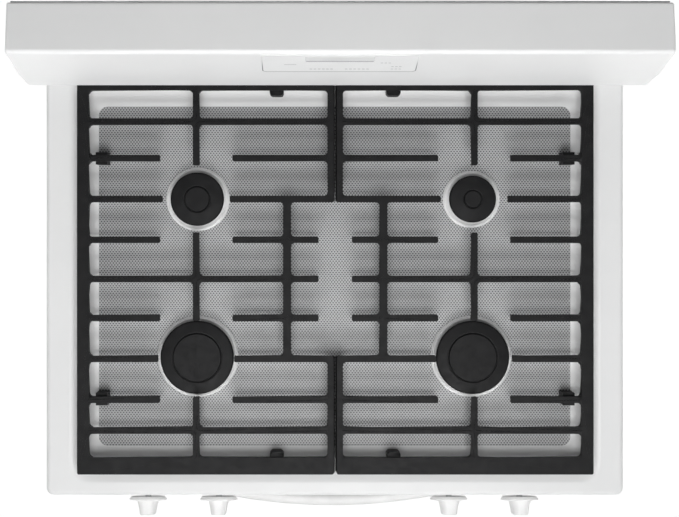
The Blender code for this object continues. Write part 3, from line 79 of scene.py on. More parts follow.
class Surface:
    """A node material under construction; sizes inside it are in metres."""

    def __init__(self, name, colour, roughness, **fixed):
        self.material = bpy.data.materials.new(name)
        self.material.use_nodes = True
        self.tree = self.material.node_tree
        self.shader = self.tree.nodes["Principled BSDF"]
        self.set("Base Color", (*colour, 1))
        self.set("Roughness", roughness)
        for socket, value in fixed.items():
            self.set(socket.replace("_", " "), value)
        coordinate = self.tree.nodes.new("ShaderNodeTexCoord")
        self.place = coordinate.outputs["Object"]

    def set(self, socket, value):
        self.shader.inputs[socket].default_value = value

    def plug(self, value, socket):
        if isinstance(value, bpy.types.NodeSocket):
            self.tree.links.new(value, socket)
        elif isinstance(value, tuple) and len(value) == 3 and socket.type == "RGBA":
            socket.default_value = (*value, 1)
        else:
            socket.default_value = value

    def feed(self, socket, value):
        self.plug(value, self.shader.inputs[socket])

    def math(self, operation, first, second=0.0):
        node = self.tree.nodes.new("ShaderNodeMath")
        node.operation = operation
        for value, socket in zip((first, second), node.inputs):
            self.plug(value, socket)
        return node.outputs[0]

    def smooth(self, value, low, high, start=0.0, end=1.0):
        """The value eased from start to end between low and high."""
        node = self.tree.nodes.new("ShaderNodeMapRange")
        node.interpolation_type = "SMOOTHSTEP"
        limits = {"Value": value, "From Min": low, "From Max": high, "To Min": start, "To Max": end}
        for name, number in limits.items():
            self.plug(number, node.inputs[name])
        return node.outputs["Result"]

    def inside(self, value, limit, soft):
        """1 below the limit and 0 above it, over a soft edge."""
        return self.smooth(value, limit - soft, limit + soft, 1.0, 0.0)

    def away(self, value, centre=0.0):
        """How far the value is from the centre."""
        return self.math("ABSOLUTE", self.math("SUBTRACT", value, centre))

    def outside(self, value, centre, half):
        """How far the value is beyond a span, and 0 within it."""
        return self.math("MAXIMUM", self.math("SUBTRACT", self.away(value, centre), half), 0.0)

    def beat(self, value, pitch):
        """Where the value stands in its period, from -0.5 to 0.5."""
        return self.math("SUBTRACT", self.math("FRACT", self.math("DIVIDE", value, pitch)), 0.5)

    def length(self, across, along):
        squares = [self.math("MULTIPLY", side, side) for side in (across, along)]
        return self.math("SQRT", self.math("ADD", *squares))

    def union(self, masks):
        """The greatest of several masks."""
        whole = masks[0]
        for mask in masks[1:]:
            whole = self.math("MAXIMUM", whole, mask)
        return whole

    def noise(self, size, detail=3.0, roughness=0.55):
        """Noise whose features are about this size, from 0 to 1."""
        node = self.tree.nodes.new("ShaderNodeTexNoise")
        self.plug(self.place, node.inputs["Vector"])
        node.inputs["Scale"].default_value = 1 / size
        node.inputs["Detail"].default_value = detail
        node.inputs["Roughness"].default_value = roughness
        return node.outputs["Fac"]

    def cells(self, size, feature="F1", output="Distance"):
        node = self.tree.nodes.new("ShaderNodeTexVoronoi")
        node.feature = feature
        self.plug(self.place, node.inputs["Vector"])
        node.inputs["Scale"].default_value = 1 / size
        return node.outputs[output]

    def axes(self):
        node = self.tree.nodes.new("ShaderNodeSeparateXYZ")
        self.plug(self.place, node.inputs[0])
        return node.outputs

    def blend(self, share, first, second):
        node = self.tree.nodes.new("ShaderNodeMix")
        node.data_type = "RGBA"
        self.plug(share, node.inputs["Factor"])
        self.plug(first, node.inputs["A"])
        self.plug(second, node.inputs["B"])
        return node.outputs["Result"]

    def bump(self, height, distance, strength=1.0):
        node = self.tree.nodes.new("ShaderNodeBump")
        node.inputs["Strength"].default_value = strength
        node.inputs["Distance"].default_value = distance
        self.plug(height, node.inputs["Height"])
        self.plug(node.outputs["Normal"], self.shader.inputs["Normal"])

    def base(self):
        """The socket that now gives the base colour."""
        return self.shader.inputs["Base Color"].links[0].from_socket

    def mottled(self, first, second, size, detail=3.0, low=0.3, high=0.7):
        """Base colour that drifts between two tones."""
        self.feed("Base Color", self.blend(self.smooth(self.noise(size, detail), low, high), first, second))

    def satin(self, low, high, size):
        """Roughness that drifts between two values."""
        self.feed("Roughness", self.smooth(self.noise(size), 0.3, 0.7, low, high))

    def grain(self, size, depth, strength, detail=1.0):
        self.bump(self.noise(size, detail), depth, strength)


ENAMEL_WHITE = (0.80, 0.803, 0.803)
ENAMEL_SHADE = (0.785, 0.788, 0.789)


def white_enamel(name="white_enamel_gloss"):
    """Fired white enamel: faint orange peel and slow tone changes under the gloss."""
    made = Surface(name, ENAMEL_WHITE, 0.4, Specular_IOR_Level=0.4, Coat_Weight=0.12, Coat_Roughness=0.2)
    made.mottled(ENAMEL_SHADE, ENAMEL_WHITE, 0.09, low=0.35)
    made.satin(0.38, 0.43, 0.05)
    made.grain(0.004, 0.00002, 0.2)
    return made


DOT_PITCH = 0.0039
DOT_ROW = 0.0025
DOT_RADIUS = 0.00115
DOT_STRETCH = 1.15
DOT_SOFT = 0.00018
DOT_RAGGED = 0.0005
PRINT_CORNER = 0.012
PRINT_DARK = (0.095, 0.097, 0.10)
PRINT_GREY = (0.48, 0.485, 0.49)
PRINT_CLEAR = 0.0015
PRINT_SOFT = 0.0003
PRINT_CLIMB = 0.00125
ROWS_BELOW = 1000


def printed_enamel(floor, rings):
    """White enamel with the staggered dots printed on the well's floor, clear of the rings."""
    made = white_enamel("cooktop_enamel_print")
    white = made.base()
    x, y, z = made.axes()
    row = made.math("ADD", made.math("FLOOR", made.math("DIVIDE", y, DOT_ROW)), ROWS_BELOW)
    shift = made.math("MULTIPLY", made.math("MODULO", row, 2.0), DOT_PITCH / 2)
    across = made.math("MULTIPLY", made.beat(made.math("ADD", x, shift), DOT_PITCH), DOT_PITCH)
    along = made.math("MULTIPLY", made.beat(y, DOT_ROW), DOT_ROW * DOT_STRETCH)
    ragged = made.math("MULTIPLY", made.math("SUBTRACT", made.noise(0.0012, 1.0), 0.5), DOT_RAGGED)
    dot = made.inside(made.math("ADD", made.length(across, along), ragged), DOT_RADIUS, DOT_SOFT)
    low_x, low_y, high_x, high_y = floor
    far_x = made.outside(x, (low_x + high_x) / 2, (high_x - low_x) / 2 - PRINT_CORNER)
    far_y = made.outside(y, (low_y + high_y) / 2, (high_y - low_y) / 2 - PRINT_CORNER)
    area = made.inside(made.length(far_x, far_y), PRINT_CORNER, PRINT_SOFT)
    for ring_x, ring_y, radius in rings:
        reach = made.length(made.math("SUBTRACT", x, ring_x), made.math("SUBTRACT", y, ring_y))
        limit = radius + PRINT_CLEAR
        area = made.math("MULTIPLY", area, made.smooth(reach, limit - PRINT_SOFT, limit + PRINT_SOFT))
    on_floor = made.inside(z, WELL_FLOOR + PRINT_CLIMB, PRINT_CLIMB / 5)
    area = made.math("MULTIPLY", area, on_floor)
    wear = made.smooth(made.noise(0.05, 4.0), 0.3, 0.75)
    grey = made.blend(wear, PRINT_GREY, tuple(value * 0.93 for value in PRINT_GREY))
    printed = made.blend(dot, grey, PRINT_DARK)
    made.feed("Base Color", made.blend(area, white, printed))
    return made


def cast_iron():
    """Black matt enamel over cast iron: pebbled, a little worn on high spots."""
    made = Surface("cast_iron_enamel", (0.009, 0.009, 0.010), 0.5, Specular_IOR_Level=0.16)
    made.mottled((0.006, 0.006, 0.0065), (0.011, 0.011, 0.0115), 0.012, 4.0, 0.35, 0.75)
    made.satin(0.44, 0.58, 0.006)
    pebbles = made.math("ADD", made.noise(0.0011, 2.0), made.math("MULTIPLY", made.noise(0.006, 2.0), 0.8))
    made.bump(pebbles, 0.00022, 0.55)
    return made


def turned_aluminium():
    """Cast aluminium with a soft oxide bloom."""
    made = Surface("burner_aluminium", (0.52, 0.51, 0.49), 0.42, Metallic=1.0)
    made.mottled((0.44, 0.43, 0.41), (0.62, 0.61, 0.59), 0.008, 4.0)
    made.satin(0.35, 0.55, 0.003)
    made.grain(0.0006, 0.00008, 0.6, 2.0)
    return made


def white_plastic():
    """Moulded plastic with a fine spark-eroded texture."""
    made = Surface("moulded_white_plastic", (0.83, 0.83, 0.825), 0.38, Specular_IOR_Level=0.45)
    made.mottled((0.80, 0.80, 0.795), (0.85, 0.85, 0.845), 0.02)
    made.satin(0.34, 0.44, 0.004)
    made.grain(0.0005, 0.00003, 0.5)
    return made


# --- meshes


def placed(name, data):
    """A new object in the scene."""
    obj = bpy.data.objects.new(name, data)
    bpy.context.scene.collection.objects.link(obj)
    return obj


def new_piece(name, bm, surface, node=None, place=None, body="body"):
    """A shown object from a bmesh: it stands for a CAD node, or only rides on a body."""
    obj = placed(name, mesh_from(bm, name))
    obj.data.materials.append(surface.material)
    if place:
        obj.matrix_world = place
    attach(obj, BODY_OF.get(node, body))
    if node:
        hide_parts(node)
    return obj


def mesh_from(bm, name):
    """A smooth-shaded mesh, and the bmesh freed."""
    mesh = bpy.data.meshes.new(name)
    bmesh.ops.recalc_face_normals(bm, faces=bm.faces)
    bm.to_mesh(mesh)
    bm.free()
    for polygon in mesh.polygons:
        polygon.use_smooth = True
    return mesh


def even_normals(obj, angle=40):
    """Flat areas keep one normal; bevels and rounds shade smoothly."""
    obj.data.set_sharp_from_angle(angle=math.radians(angle))
    modifier = obj.modifiers.new("normals", "WEIGHTED_NORMAL")
    modifier.keep_sharp = True


def loft(bm, loops, capped=False):
    """Quads between closed loops of points, with the ends closed if wanted."""
    rings = [[bm.verts.new(point) for point in loop] for loop in loops]
    skin(bm, rings, len(rings[0]))
    if capped:
        bm.faces.new(rings[0])
        bm.faces.new(rings[-1])
    return rings


def skin(bm, rings, steps):
    """Faces between rings of vertices; a ring of one vertex closes the shape there."""
    for first, second in zip(rings, rings[1:]):
        for k in range(steps):
            corners = [first[k % len(first)], first[(k + 1) % len(first)]]
            corners += [second[(k + 1) % len(second)], second[k % len(second)]]
            unique = list(dict.fromkeys(corners))
            if len(unique) > 2:
                bm.faces.new(unique)


def rounded_outline(low_x, low_y, high_x, high_y, radius, steps=8):
    """A rounded rectangle's points, anticlockwise from its high corner."""
    corners = (
        (high_x - radius, high_y - radius),
        (low_x + radius, high_y - radius),
        (low_x + radius, low_y + radius),
        (high_x - radius, low_y + radius),
    )
    points = []
    for turn, (x, y) in enumerate(corners):
        for k in range(steps + 1):
            angle = math.radians(90 * (turn + k / steps))
            points.append((x + radius * math.cos(angle), y + radius * math.sin(angle)))
    return points


def level_outline(rectangle, z, radius, steps=8):
    return [Vector((x, y, z)) for x, y in rounded_outline(*rectangle, radius, steps)]


def circle(x, y, z, radius, steps):
    turns = (2 * math.pi * k / steps for k in range(steps))
    return [Vector((x + radius * math.cos(a), y + radius * math.sin(a), z)) for a in turns]


def arc_points(centre, radius, start, end, steps):
    """Points (across, up) on an arc between two angles in degrees."""
    angles = (math.radians(start + (end - start) * k / steps) for k in range(steps + 1))
    return [(centre[0] + radius * math.cos(a), centre[1] + radius * math.sin(a)) for a in angles]


def lathe(bm, profile, transform=Matrix.Identity(4), steps=96):
    """The profile (radius, height) turned about local z; ends at radius 0 are closed."""
    rings = []
    for radius, height in profile:
        around = circle(0, 0, height, radius, steps) if radius else [Vector((0, 0, height))]
        rings.append([bm.verts.new(transform @ point) for point in around])
    skin(bm, rings, steps)
    return rings


def turned(profile, transform=Matrix.Identity(4), steps=96):
    """A new bmesh with the lathed profile."""
    bm = bmesh.new()
    lathe(bm, profile, transform, steps)
    return bm


# --- cooktop

RIM_ROUND = 0.0055
SHOULDER = 0.0025
WELL_FOOT = 0.005
WELL_TOP_INSETS = (0.0325, 0.019, 0.084)
WELL_FLOOR_INSETS = (0.067, 0.063, 0.127)
RING_RISE = 0.003
RING_MARGINS = {"front": 0.004, "rear": 0.0052}
RING_BEAD = 0.0014
RING_THROAT = 0.0175
SUPPORT = 0.0015
OUTER_CORNER = 0.010
RIM_CORNER = 0.026
WALL_CORNER = 0.022
FLOOR_CORNER = 0.012
WALL_FROM = 0.2
WALL_TO = 0.85


def inset_rectangle(insets):
    side, front, rear = insets
    return np.array((side - HALF, EDGE + front, HALF - side, REAR - rear))


def grown(rectangle, by):
    return rectangle + np.array((-by, -by, by, by))


def burner_rings():
    """(x, y, ring radius, cap radius) for each burner."""
    found = []
    for place in PLACES:
        low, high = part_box(f"burner_cap_{place}")
        cap = (high.x - low.x) / 2
        margin = RING_MARGINS[place.split("_")[0]]
        found.append(((low.x + high.x) / 2, (low.y + high.y) / 2, cap + margin, cap))
    return found


def cooktop():
    """One pressed sheet: rolled edge, sloping well, and a raised ring at each burner."""
    outer = inset_rectangle((0, 0, 0))
    rim = inset_rectangle(WELL_TOP_INSETS)
    floor = inset_rectangle(WELL_FLOOR_INSETS)

    def eased(points, steps=6):
        """Loops (rectangle, z, radius) along a curve with three control loops."""
        for k in range(steps + 1):
            t = k / steps
            weights = ((1 - t) ** 2, 2 * t * (1 - t), t * t)
            yield tuple(sum(w * p[i] for w, p in zip(weights, points)) for i in range(3))

    def on_wall(share):
        return rim + (floor - rim) * share, TOP + (WELL_FLOOR - TOP) * share, WALL_CORNER

    corner = OUTER_CORNER
    loops = [(outer, COOKTOP_LOW.z, corner), (outer, COOKTOP_LOW.z + 0.002, corner)]
    for k in range(7):
        angle = math.radians(15 * k)
        inward = RIM_ROUND * (1 - math.cos(angle))
        level = TOP - RIM_ROUND * (1 - math.sin(angle))
        loops.append((grown(outer, -inward), level, corner - inward * 0.6))
    loops.append((grown(outer, -RIM_ROUND - SUPPORT), TOP, corner - 0.002))
    loops.append((grown(rim, SHOULDER + SUPPORT), TOP, RIM_CORNER))
    shoulder = (grown(rim, SHOULDER), TOP, RIM_CORNER)
    loops += eased((shoulder, (rim, TOP, RIM_CORNER - 0.002), on_wall(WALL_FROM)))
    foot = (grown(floor, -WELL_FOOT), WELL_FLOOR, FLOOR_CORNER)
    loops += eased((on_wall(WALL_TO), (floor, WELL_FLOOR, FLOOR_CORNER + 0.004), foot))
    loops.append((grown(floor, -WELL_FOOT - SUPPORT), WELL_FLOOR, FLOOR_CORNER - 0.001))
    bm = bmesh.new()
    rings = loft(bm, [level_outline(*loop) for loop in loops])
    edges = [rings[-1]]
    for x, y, ring, cap in burner_rings():
        throat = cap - RING_THROAT
        profile = [(ring + 0.003, 0.0), (ring + 0.0012, 0.0003)]
        profile += arc_points((ring - 0.0012, RING_RISE - RING_BEAD), RING_BEAD, 20, 150, 6)
        profile += [(ring - 0.006, RING_RISE - 0.0016), (throat + 0.003, RING_RISE - 0.0018)]
        profile += [(throat + 0.0005, RING_RISE - 0.0024), (throat, RING_RISE - 0.006)]
        edges.append(lathe(bm, profile, Matrix.Translation((x, y, WELL_FLOOR)), 72)[0])
    fill_flat(bm, edges)
    beads = [(x, y, ring) for x, y, ring, _ in burner_rings()]
    obj = new_piece("cooktop_sheet", bm, printed_enamel(tuple(grown(floor, -0.001)), beads), "cooktop")
    face_up(obj)
    sheet = obj.modifiers.new("sheet", "SOLIDIFY")
    sheet.thickness = SHEET
    sheet.offset = -1
    even_normals(obj, 60)


def face_up(obj):
    """Turns the mesh so that its widest faces look up."""
    mesh = obj.data
    flat = max(mesh.polygons, key=lambda polygon: polygon.area)
    if flat.normal.z < 0:
        mesh.flip_normals()


def fill_flat(bm, loops):
    """Triangles between an outer loop and the holes inside it, at the outer loop's height."""
    points = [vert for loop in loops for vert in loop]
    edges = []
    start = 0
    for loop in loops:
        count = len(loop)
        edges += [(start + k, start + (k + 1) % count) for k in range(count)]
        start += count
    flat = [Vector((vert.co.x, vert.co.y)) for vert in points]
    _, _, faces, _, _, _ = delaunay_2d_cdt(flat, edges, [], 1, 1e-7)
    holes = []
    for loop in loops[1:]:
        centre = sum((vert.co for vert in loop), Vector()) / len(loop)
        holes.append((centre, (loop[0].co - centre).length))
    for face in faces:
        middle = sum((flat[k] for k in face), Vector((0, 0))) / len(face)
        if all((middle - centre.xy).length > radius for centre, radius in holes):
            bm.faces.new([points[k] for k in face])


# --- grates

CELL_FILLET = 0.0045
FINGER_ROUND = 0.0022
TOP_ROUND = 0.0019
GRATE_BAR_HEIGHT = 0.012
BAR_DRAFT = 0.0013
CENTRE_GAP = 0.005
CENTRE_GAP_BELOW = 0.0003
PAD_ROUND = 0.0035
PAD_EDGES = (0.004, 0.03)
NEAR = 1e-5


def welded(node):
    """The CAD node's mesh as a bmesh with shared corners and whole flat faces."""
    source = NODES[node].data
    bm = bmesh.new()
    verts = [bm.verts.new(vert.co) for vert in source.vertices]
    for polygon in source.polygons:
        bm.faces.new([verts[k] for k in polygon.vertices])
    bmesh.ops.remove_doubles(bm, verts=bm.verts, dist=NEAR)
    bmesh.ops.dissolve_limit(bm, angle_limit=math.radians(0.5), verts=bm.verts, edges=bm.edges)
    bmesh.ops.triangulate(bm, faces=bm.faces, quad_method="BEAUTY", ngon_method="BEAUTY")
    bm.normal_update()
    return bm


def bevel(bm, edges, width, segments):
    how = {"offset_type": "OFFSET", "profile": 0.5, "affect": "EDGES", "clamp_overlap": True}
    bmesh.ops.bevel(bm, geom=list(edges), offset=width, segments=segments, **how)


def draft(bm, top, height):
    """Narrows the bars towards their undersides, as a casting needs to leave its mould."""
    moves = {}
    for vert in bm.verts:
        if abs(vert.co.z - (top - height)) > NEAR:
            continue
        walls = []
        for face in vert.link_faces:
            upright = abs(face.normal.z) < 0.1 and max(v.co.z for v in face.verts) > top - height / 2
            if upright and all(face.normal.dot(seen) < 0.9 for seen in walls):
                walls.append(face.normal.copy())
        if walls:
            moves[vert] = -sum(walls, Vector()) * BAR_DRAFT
    for vert, move in moves.items():
        vert.co += move
        if abs(vert.co.x) < CENTRE_GAP:
            vert.co.x = math.copysign(CENTRE_GAP_BELOW, vert.co.x)


def grate(side, surface):
    """The frame's grate with filleted cells, rounded bars and softened feet."""
    node = f"grate_{side}"
    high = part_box(node)[1]
    bm = welded(node)
    bar = GRATE_BAR_HEIGHT

    def upright(edge, to_the_top):
        first, second = (vert.co for vert in edge.verts)
        reaches = max(first.z, second.z) > high.z - NEAR
        return (first - second).xy.length < 1e-6 and reaches == to_the_top

    def full(edge):
        return upright(edge, True) and edge.calc_length() > bar * 0.95

    hollow = [e for e in bm.edges if full(e) and e.calc_face_angle_signed(0) < -1.0]
    bevel(bm, hollow, CELL_FILLET, 5)
    proud = [e for e in bm.edges if full(e) and e.calc_face_angle_signed(0) > 1.0]
    bevel(bm, proud, FINGER_ROUND, 4)

    def crest(edge):
        if any(vert.co.z < high.z - NEAR for vert in edge.verts) or len(edge.link_faces) != 2:
            return False
        tilts = sorted(abs(face.normal.z) for face in edge.link_faces)
        return tilts[0] < 0.3 and tilts[1] > 0.7

    pads = [e for e in bm.edges if upright(e, False) and PAD_EDGES[0] < e.calc_length() < PAD_EDGES[1]]
    bevel(bm, [e for e in pads if e.calc_face_angle_signed(0) > 1.0], PAD_ROUND, 4)
    bevel(bm, [e for e in bm.edges if crest(e)], TOP_ROUND, 3)
    bm.normal_update()
    draft(bm, high.z, bar)
    even_normals(new_piece(f"{node}_casting", bm, surface, node), 50)


# --- burners

PORTS = {"front": 36, "rear": 26}
CAP_MIDDLE = {"front_left": 0.651, "front_right": 0.651, "rear_left": 0.457, "rear_right": 0.358}
CAP_EDGE = 0.0012
CAP_SHOULDER = 0.0026
CAP_DISH = 0.0013
GROOVE = 0.0020
PORT_DEPTH = 0.0016
PORT_STEPS = 6
HEAD_NECK = 0.011


def burner_cap(place, x, y, cap, iron):
    """The loose enamelled cap, with a groove around its raised middle."""
    node = f"burner_cap_{place}"
    low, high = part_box(node)
    crown = high.z - low.z
    dish = crown - CAP_DISH
    inner = cap * CAP_MIDDLE[place]
    profile = [(0, 0.0), (cap - 0.006, 0.0), (cap - CAP_EDGE, 0.0)]
    profile += arc_points((cap - CAP_EDGE, CAP_EDGE), CAP_EDGE, -60, 0, 3)
    profile += arc_points((cap - CAP_SHOULDER, crown - 2 * CAP_SHOULDER), CAP_SHOULDER, 0, 78, 7)
    profile += [(inner + 0.0028, dish), (inner + 0.0017, dish - 0.0002)]
    profile += [(inner + 0.0014, dish - GROOVE), (inner + 0.0005, dish - GROOVE)]
    profile += arc_points((inner - 0.0010, crown - 0.0010), 0.0010, 0, 90, 5)
    profile += [(inner * 0.5, crown), (0, crown)]
    bm = turned(profile, Matrix.Translation((x, y, low.z)))
    even_normals(new_piece(f"{node}_enamelled", bm, iron, node), 45)


def burner_head(place, x, y, aluminium):
    """The head under the cap, with a row of ports cut into its upper edge."""
    node = f"burner_head_{place}"
    low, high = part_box(node)
    radius = (high.x - low.x) / 2
    deep = high.z - low.z
    neck = radius - HEAD_NECK
    cut = PORT_DEPTH
    rows = [
        (0, deep - 0.004, 0), (neck * 0.5, deep - 0.004, 0), (neck * 0.5 + 0.002, deep - 0.0004, 0),
        (radius - 0.004, deep, 0), (radius - 0.0024, deep, cut), (radius - 0.0020, deep - 0.0008, cut),
        (radius - 0.0014, deep - 0.0042, cut), (radius - 0.0006, deep - 0.0048, 0),
        (radius, deep - 0.0078, 0), (radius - 0.0008, deep - 0.009, 0), (neck, deep - 0.009, 0),
        (neck, 0.0, 0), (0, 0.0, 0),
    ]
    steps = PORTS[place.split("_")[0]] * PORT_STEPS
    bm = bmesh.new()
    rings = []
    for reach, z, notch in rows:
        ring = circle(x, y, low.z + z, reach, steps) if reach else [Vector((x, y, low.z + z))]
        if notch:
            notched = circle(x, y, low.z + z, reach - notch, steps)
            ring = [notched[k] if k % PORT_STEPS in (2, 3) else ring[k] for k in range(steps)]
        rings.append([bm.verts.new(point) for point in ring])
    skin(bm, rings, steps)
    even_normals(new_piece(f"{node}_ported", bm, aluminium, node), 35)


# --- shared solids


def solid(points, span, across="X"):
    """A closed prism: the outline (y, z) run along x, or (x, y) run along z."""
    bm = bmesh.new()
    ends = [[(at, a, b) if across == "X" else (a, b, at) for a, b in points] for at in span]
    loft(bm, ends, capped=True)
    bmesh.ops.recalc_face_normals(bm, faces=bm.faces)
    return bm


def block(low, high):
    """A box as a bmesh, for rounding or cutting."""
    outline = [(low[0], low[1]), (high[0], low[1]), (high[0], high[1]), (low[0], high[1])]
    return solid(outline, (low[2], high[2]), "Z")


def rounded(bm, width, segments=3, wanted=None):
    """Rounds the edges that meet at more than 20 degrees, or only the wanted ones."""
    limit = math.radians(20)
    edges = [e for e in bm.edges if abs(e.calc_face_angle(0)) > limit and (wanted is None or wanted(e))]
    bevel(bm, edges, width, segments)
    return bm


def carved(obj, cutters):
    """Cuts closed bmeshes out of the object's mesh."""
    for bm in cutters:
        bmesh.ops.recalc_face_normals(bm, faces=bm.faces)
        mesh = bpy.data.meshes.new("cutter")
        bm.to_mesh(mesh)
        bm.free()
        cutter = placed("cutter", mesh)
        modifier = obj.modifiers.new("cut", "BOOLEAN")
        modifier.operation = "DIFFERENCE"
        modifier.solver = "EXACT"
        modifier.object = cutter
        evaluated = obj.evaluated_get(bpy.context.evaluated_depsgraph_get())
        result = bpy.data.meshes.new_from_object(evaluated)
        obj.modifiers.clear()
        obj.data = result
        bpy.data.objects.remove(cutter)


def tube_along(points, radius, steps=12):
    """A round bar through the points, its section kept square to the way it runs."""
    bm = bmesh.new()
    path = [Vector(point) for point in points]
    loops = []
    for k, point in enumerate(path):
        before = (point - path[k - 1]).normalized() if k else (path[1] - point).normalized()
        after = (path[k + 1] - point).normalized() if k + 1 < len(path) else before
        along = (before + after).normalized()
        side = along.cross(Vector((0, 0, 1)))
        if side.length < 1e-3:
            side = along.cross(Vector((0, 1, 0)))
        side.normalize()
        up = side.cross(along).normalized()
        stretch = 1 / max(0.5, before.dot(along))
        turn = before - after
        turn = turn.normalized() if turn.length > 1e-5 else None
        ring = []
        for i in range(steps):
            angle = 2 * math.pi * i / steps
            offset = (side * math.cos(angle) + up * math.sin(angle)) * radius
            if turn is not None:
                offset += turn * offset.dot(turn) * (stretch - 1)
            ring.append(point + offset)
        loops.append(ring)
    loft(bm, loops, capped=True)
    return bm


def bent(points, radius, steps=5):
    """The points of a route with its inner corners turned into arcs."""
    path = [Vector(point) for point in points]
    route = [path[0]]
    for before, corner, after in zip(path, path[1:], path[2:]):
        start = corner + (before - corner).normalized() * radius
        end = corner + (after - corner).normalized() * radius
        for k in range(steps + 1):
            t = k / steps
            route.append(start * (1 - t) ** 2 + corner * 2 * t * (1 - t) + end * t * t)
    return route + [path[-1]]


def joined(pieces):
    """One bmesh from several."""
    whole = bmesh.new()
    for bm in pieces:
        mesh = mesh_from(bm, "part")
        whole.from_mesh(mesh)
        bpy.data.meshes.remove(mesh)
    return whole


# --- backguard

GUARD_RISE = 0.276
GUARD_WALL = 0.029
GUARD_WALL_TOP = 0.1256
GUARD_LIP = 0.1316
GUARD_BREAK = (0.007, 0.1946)
GUARD_CREST = 0.024
GUARD_FALL = 0.010
GUARD_ROUND = 0.0028
FOLD_ROUND = 0.005
FACE_LEAN = math.atan2(GUARD_CREST - GUARD_BREAK[0], GUARD_RISE - GUARD_BREAK[1])
SLOTS = 6
SLOT_PITCH = 0.050
SLOT_SIZE = (0.038, 0.012)
SLOT_RISE = 0.060
SLOT_DEPTH = 0.012


def backguard(enamel):
    """Bent sheet backguard with softened folds, closed ends and vent slots in its low wall."""
    low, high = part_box("backguard_shell")
    lip = low.y
    wall = lip + GUARD_WALL
    crest = lip + GUARD_CREST
    outline = [
        (wall, low.z),
        (wall, low.z + GUARD_WALL_TOP),
        (lip, low.z + GUARD_LIP),
        (lip + GUARD_BREAK[0], low.z + GUARD_BREAK[1]),
        (crest, high.z),
        (high.y, high.z - GUARD_FALL),
        (high.y, low.z),
    ]
    bm = solid(outline, (low.x, high.x))
    fold = [e for e in bm.edges if all(abs(v.co.y - crest) < NEAR for v in e.verts)]
    bevel(bm, fold, FOLD_ROUND, 5)
    rounded(bm, GUARD_ROUND, 4, lambda e: any(v.co.z > low.z + NEAR for v in e.verts))
    obj = new_piece("backguard_sheet", bm, enamel, "backguard_shell")
    rear, below = high.y + 0.01, low.z - 0.01
    hollow = [
        (wall + SHEET, below),
        (wall + SHEET, low.z + GUARD_WALL_TOP + SHEET),
        (lip + SHEET * 1.6, low.z + GUARD_LIP + SHEET),
        (lip + GUARD_BREAK[0] + SHEET, low.z + GUARD_BREAK[1]),
        (crest + SHEET, high.z - SHEET * 1.6),
        (rear, high.z - GUARD_FALL - SHEET * 2.8),
        (rear, below),
    ]
    carved(obj, [solid(hollow, (low.x + SHEET, high.x - SHEET))])
    long, tall = SLOT_SIZE
    slots = []
    for k in range(SLOTS):
        x = (k - (SLOTS - 1) / 2) * SLOT_PITCH
        start = (x - long / 2, wall - 0.004, TOP + SLOT_RISE)
        end = (x + long / 2, wall + SLOT_DEPTH, TOP + SLOT_RISE + tall)
        slots.append(rounded(block(start, end), tall * 0.45, 4, runs_along_y))
    carved(obj, slots)
    even_normals(obj)


def runs_along_y(edge):
    first, second = (vert.co for vert in edge.verts)
    return abs(first.x - second.x) < 1e-6 and abs(first.z - second.z) < 1e-6


# colour of painted edge shade: the keypad's outline and the dark line at the display lens's foot
PAINTED_EDGE_SHADE = (0.16, 0.165, 0.17)
KEY_GREY = (0.36, 0.37, 0.38)
KEYPAD_CORNER = 0.006
KEYPAD_LIFT = 0.007
DISPLAY_CORNER = 0.002
DISPLAY_LIFT = 0.003
# width of the painted shade line along the display lens's foot
FOOT_SHADE_WIDTH = 0.0021
LINE_INSET = 0.0012
LONG_MARK = (-0.057, -0.002, 0.007, 0.0006)
KEY_MARK = (0.0015, 0.0010)
KEY_ROW = -0.019
KEY_GROUPS = ((-0.033, 0.0048), (0.008, 0.0050))
DOT_MARK = (0.0014, 0.0008)
DOT_GROUPS = ((0.053, 0.004), (0.066, -0.010), (0.066, -0.019))


def keypad(x_half, height, middle):
    """Pale membrane with a few small key marks and an outline of painted edge shade, darkest at the bottom and
    fading towards the top.
    """
    made = Surface("keypad_membrane", (0.78, 0.785, 0.785), 0.32, Specular_IOR_Level=0.45)
    x, y, _ = made.axes()
    y = made.math("SUBTRACT", y, middle)
    made.mottled((0.79, 0.795, 0.795), (0.81, 0.815, 0.815), 0.03)
    inset = LINE_INSET + KEYPAD_CORNER
    far_x = made.outside(x, 0.0, x_half - inset)
    far_y = made.outside(y, 0.0, height / 2 - inset)
    off_line = made.away(made.length(far_x, far_y), KEYPAD_CORNER)
    # painted shade: the outline just inside the membrane's edge is darkest along the bottom and fades towards the
    # top
    below = made.smooth(y, -height * 0.3, height * 0.3, 1.0, 0.15)
    edge_shade = made.math("MULTIPLY", made.inside(off_line, 0.0006, 0.0002), below)
    rows = [LONG_MARK]
    for start, pitch in KEY_GROUPS:
        rows += [(start + k * pitch, KEY_ROW, *KEY_MARK) for k in range(6)]
    for centre, row in DOT_GROUPS:
        rows += [(centre + k * 0.0045, row, *DOT_MARK) for k in (-1, 0, 1)]
    bars = []
    for bar_x, bar_y, half_x, half_y in rows:
        in_x = made.inside(made.away(x, bar_x), half_x, 0.0001)
        in_y = made.inside(made.away(y, bar_y), half_y, 0.0001)
        bars.append(made.math("MULTIPLY", in_x, in_y))
    colour = made.blend(made.union(bars), made.base(), KEY_GREY)
    made.feed("Base Color", made.blend(edge_shade, colour, PAINTED_EDGE_SHADE))
    made.grain(0.0008, 0.00002, 0.4)
    return made


def display(foot):
    """Unlit display: a pale gloss pane with a dark line of painted shade along its foot, for the shaded gap there.
    """
    made = Surface("display_lens", (0.7, 0.71, 0.71), 0.2, Coat_Weight=0.5, Coat_Roughness=0.05)
    made.mottled((0.77, 0.775, 0.775), (0.80, 0.805, 0.805), 0.02)
    # painted shade: a dark band along the lens's foot stands for the shaded gap below it
    line = made.inside(made.axes()[1], foot + FOOT_SHADE_WIDTH, FOOT_SHADE_WIDTH / 7)
    made.feed("Base Color", made.blend(line, made.base(), PAINTED_EDGE_SHADE))
    return made


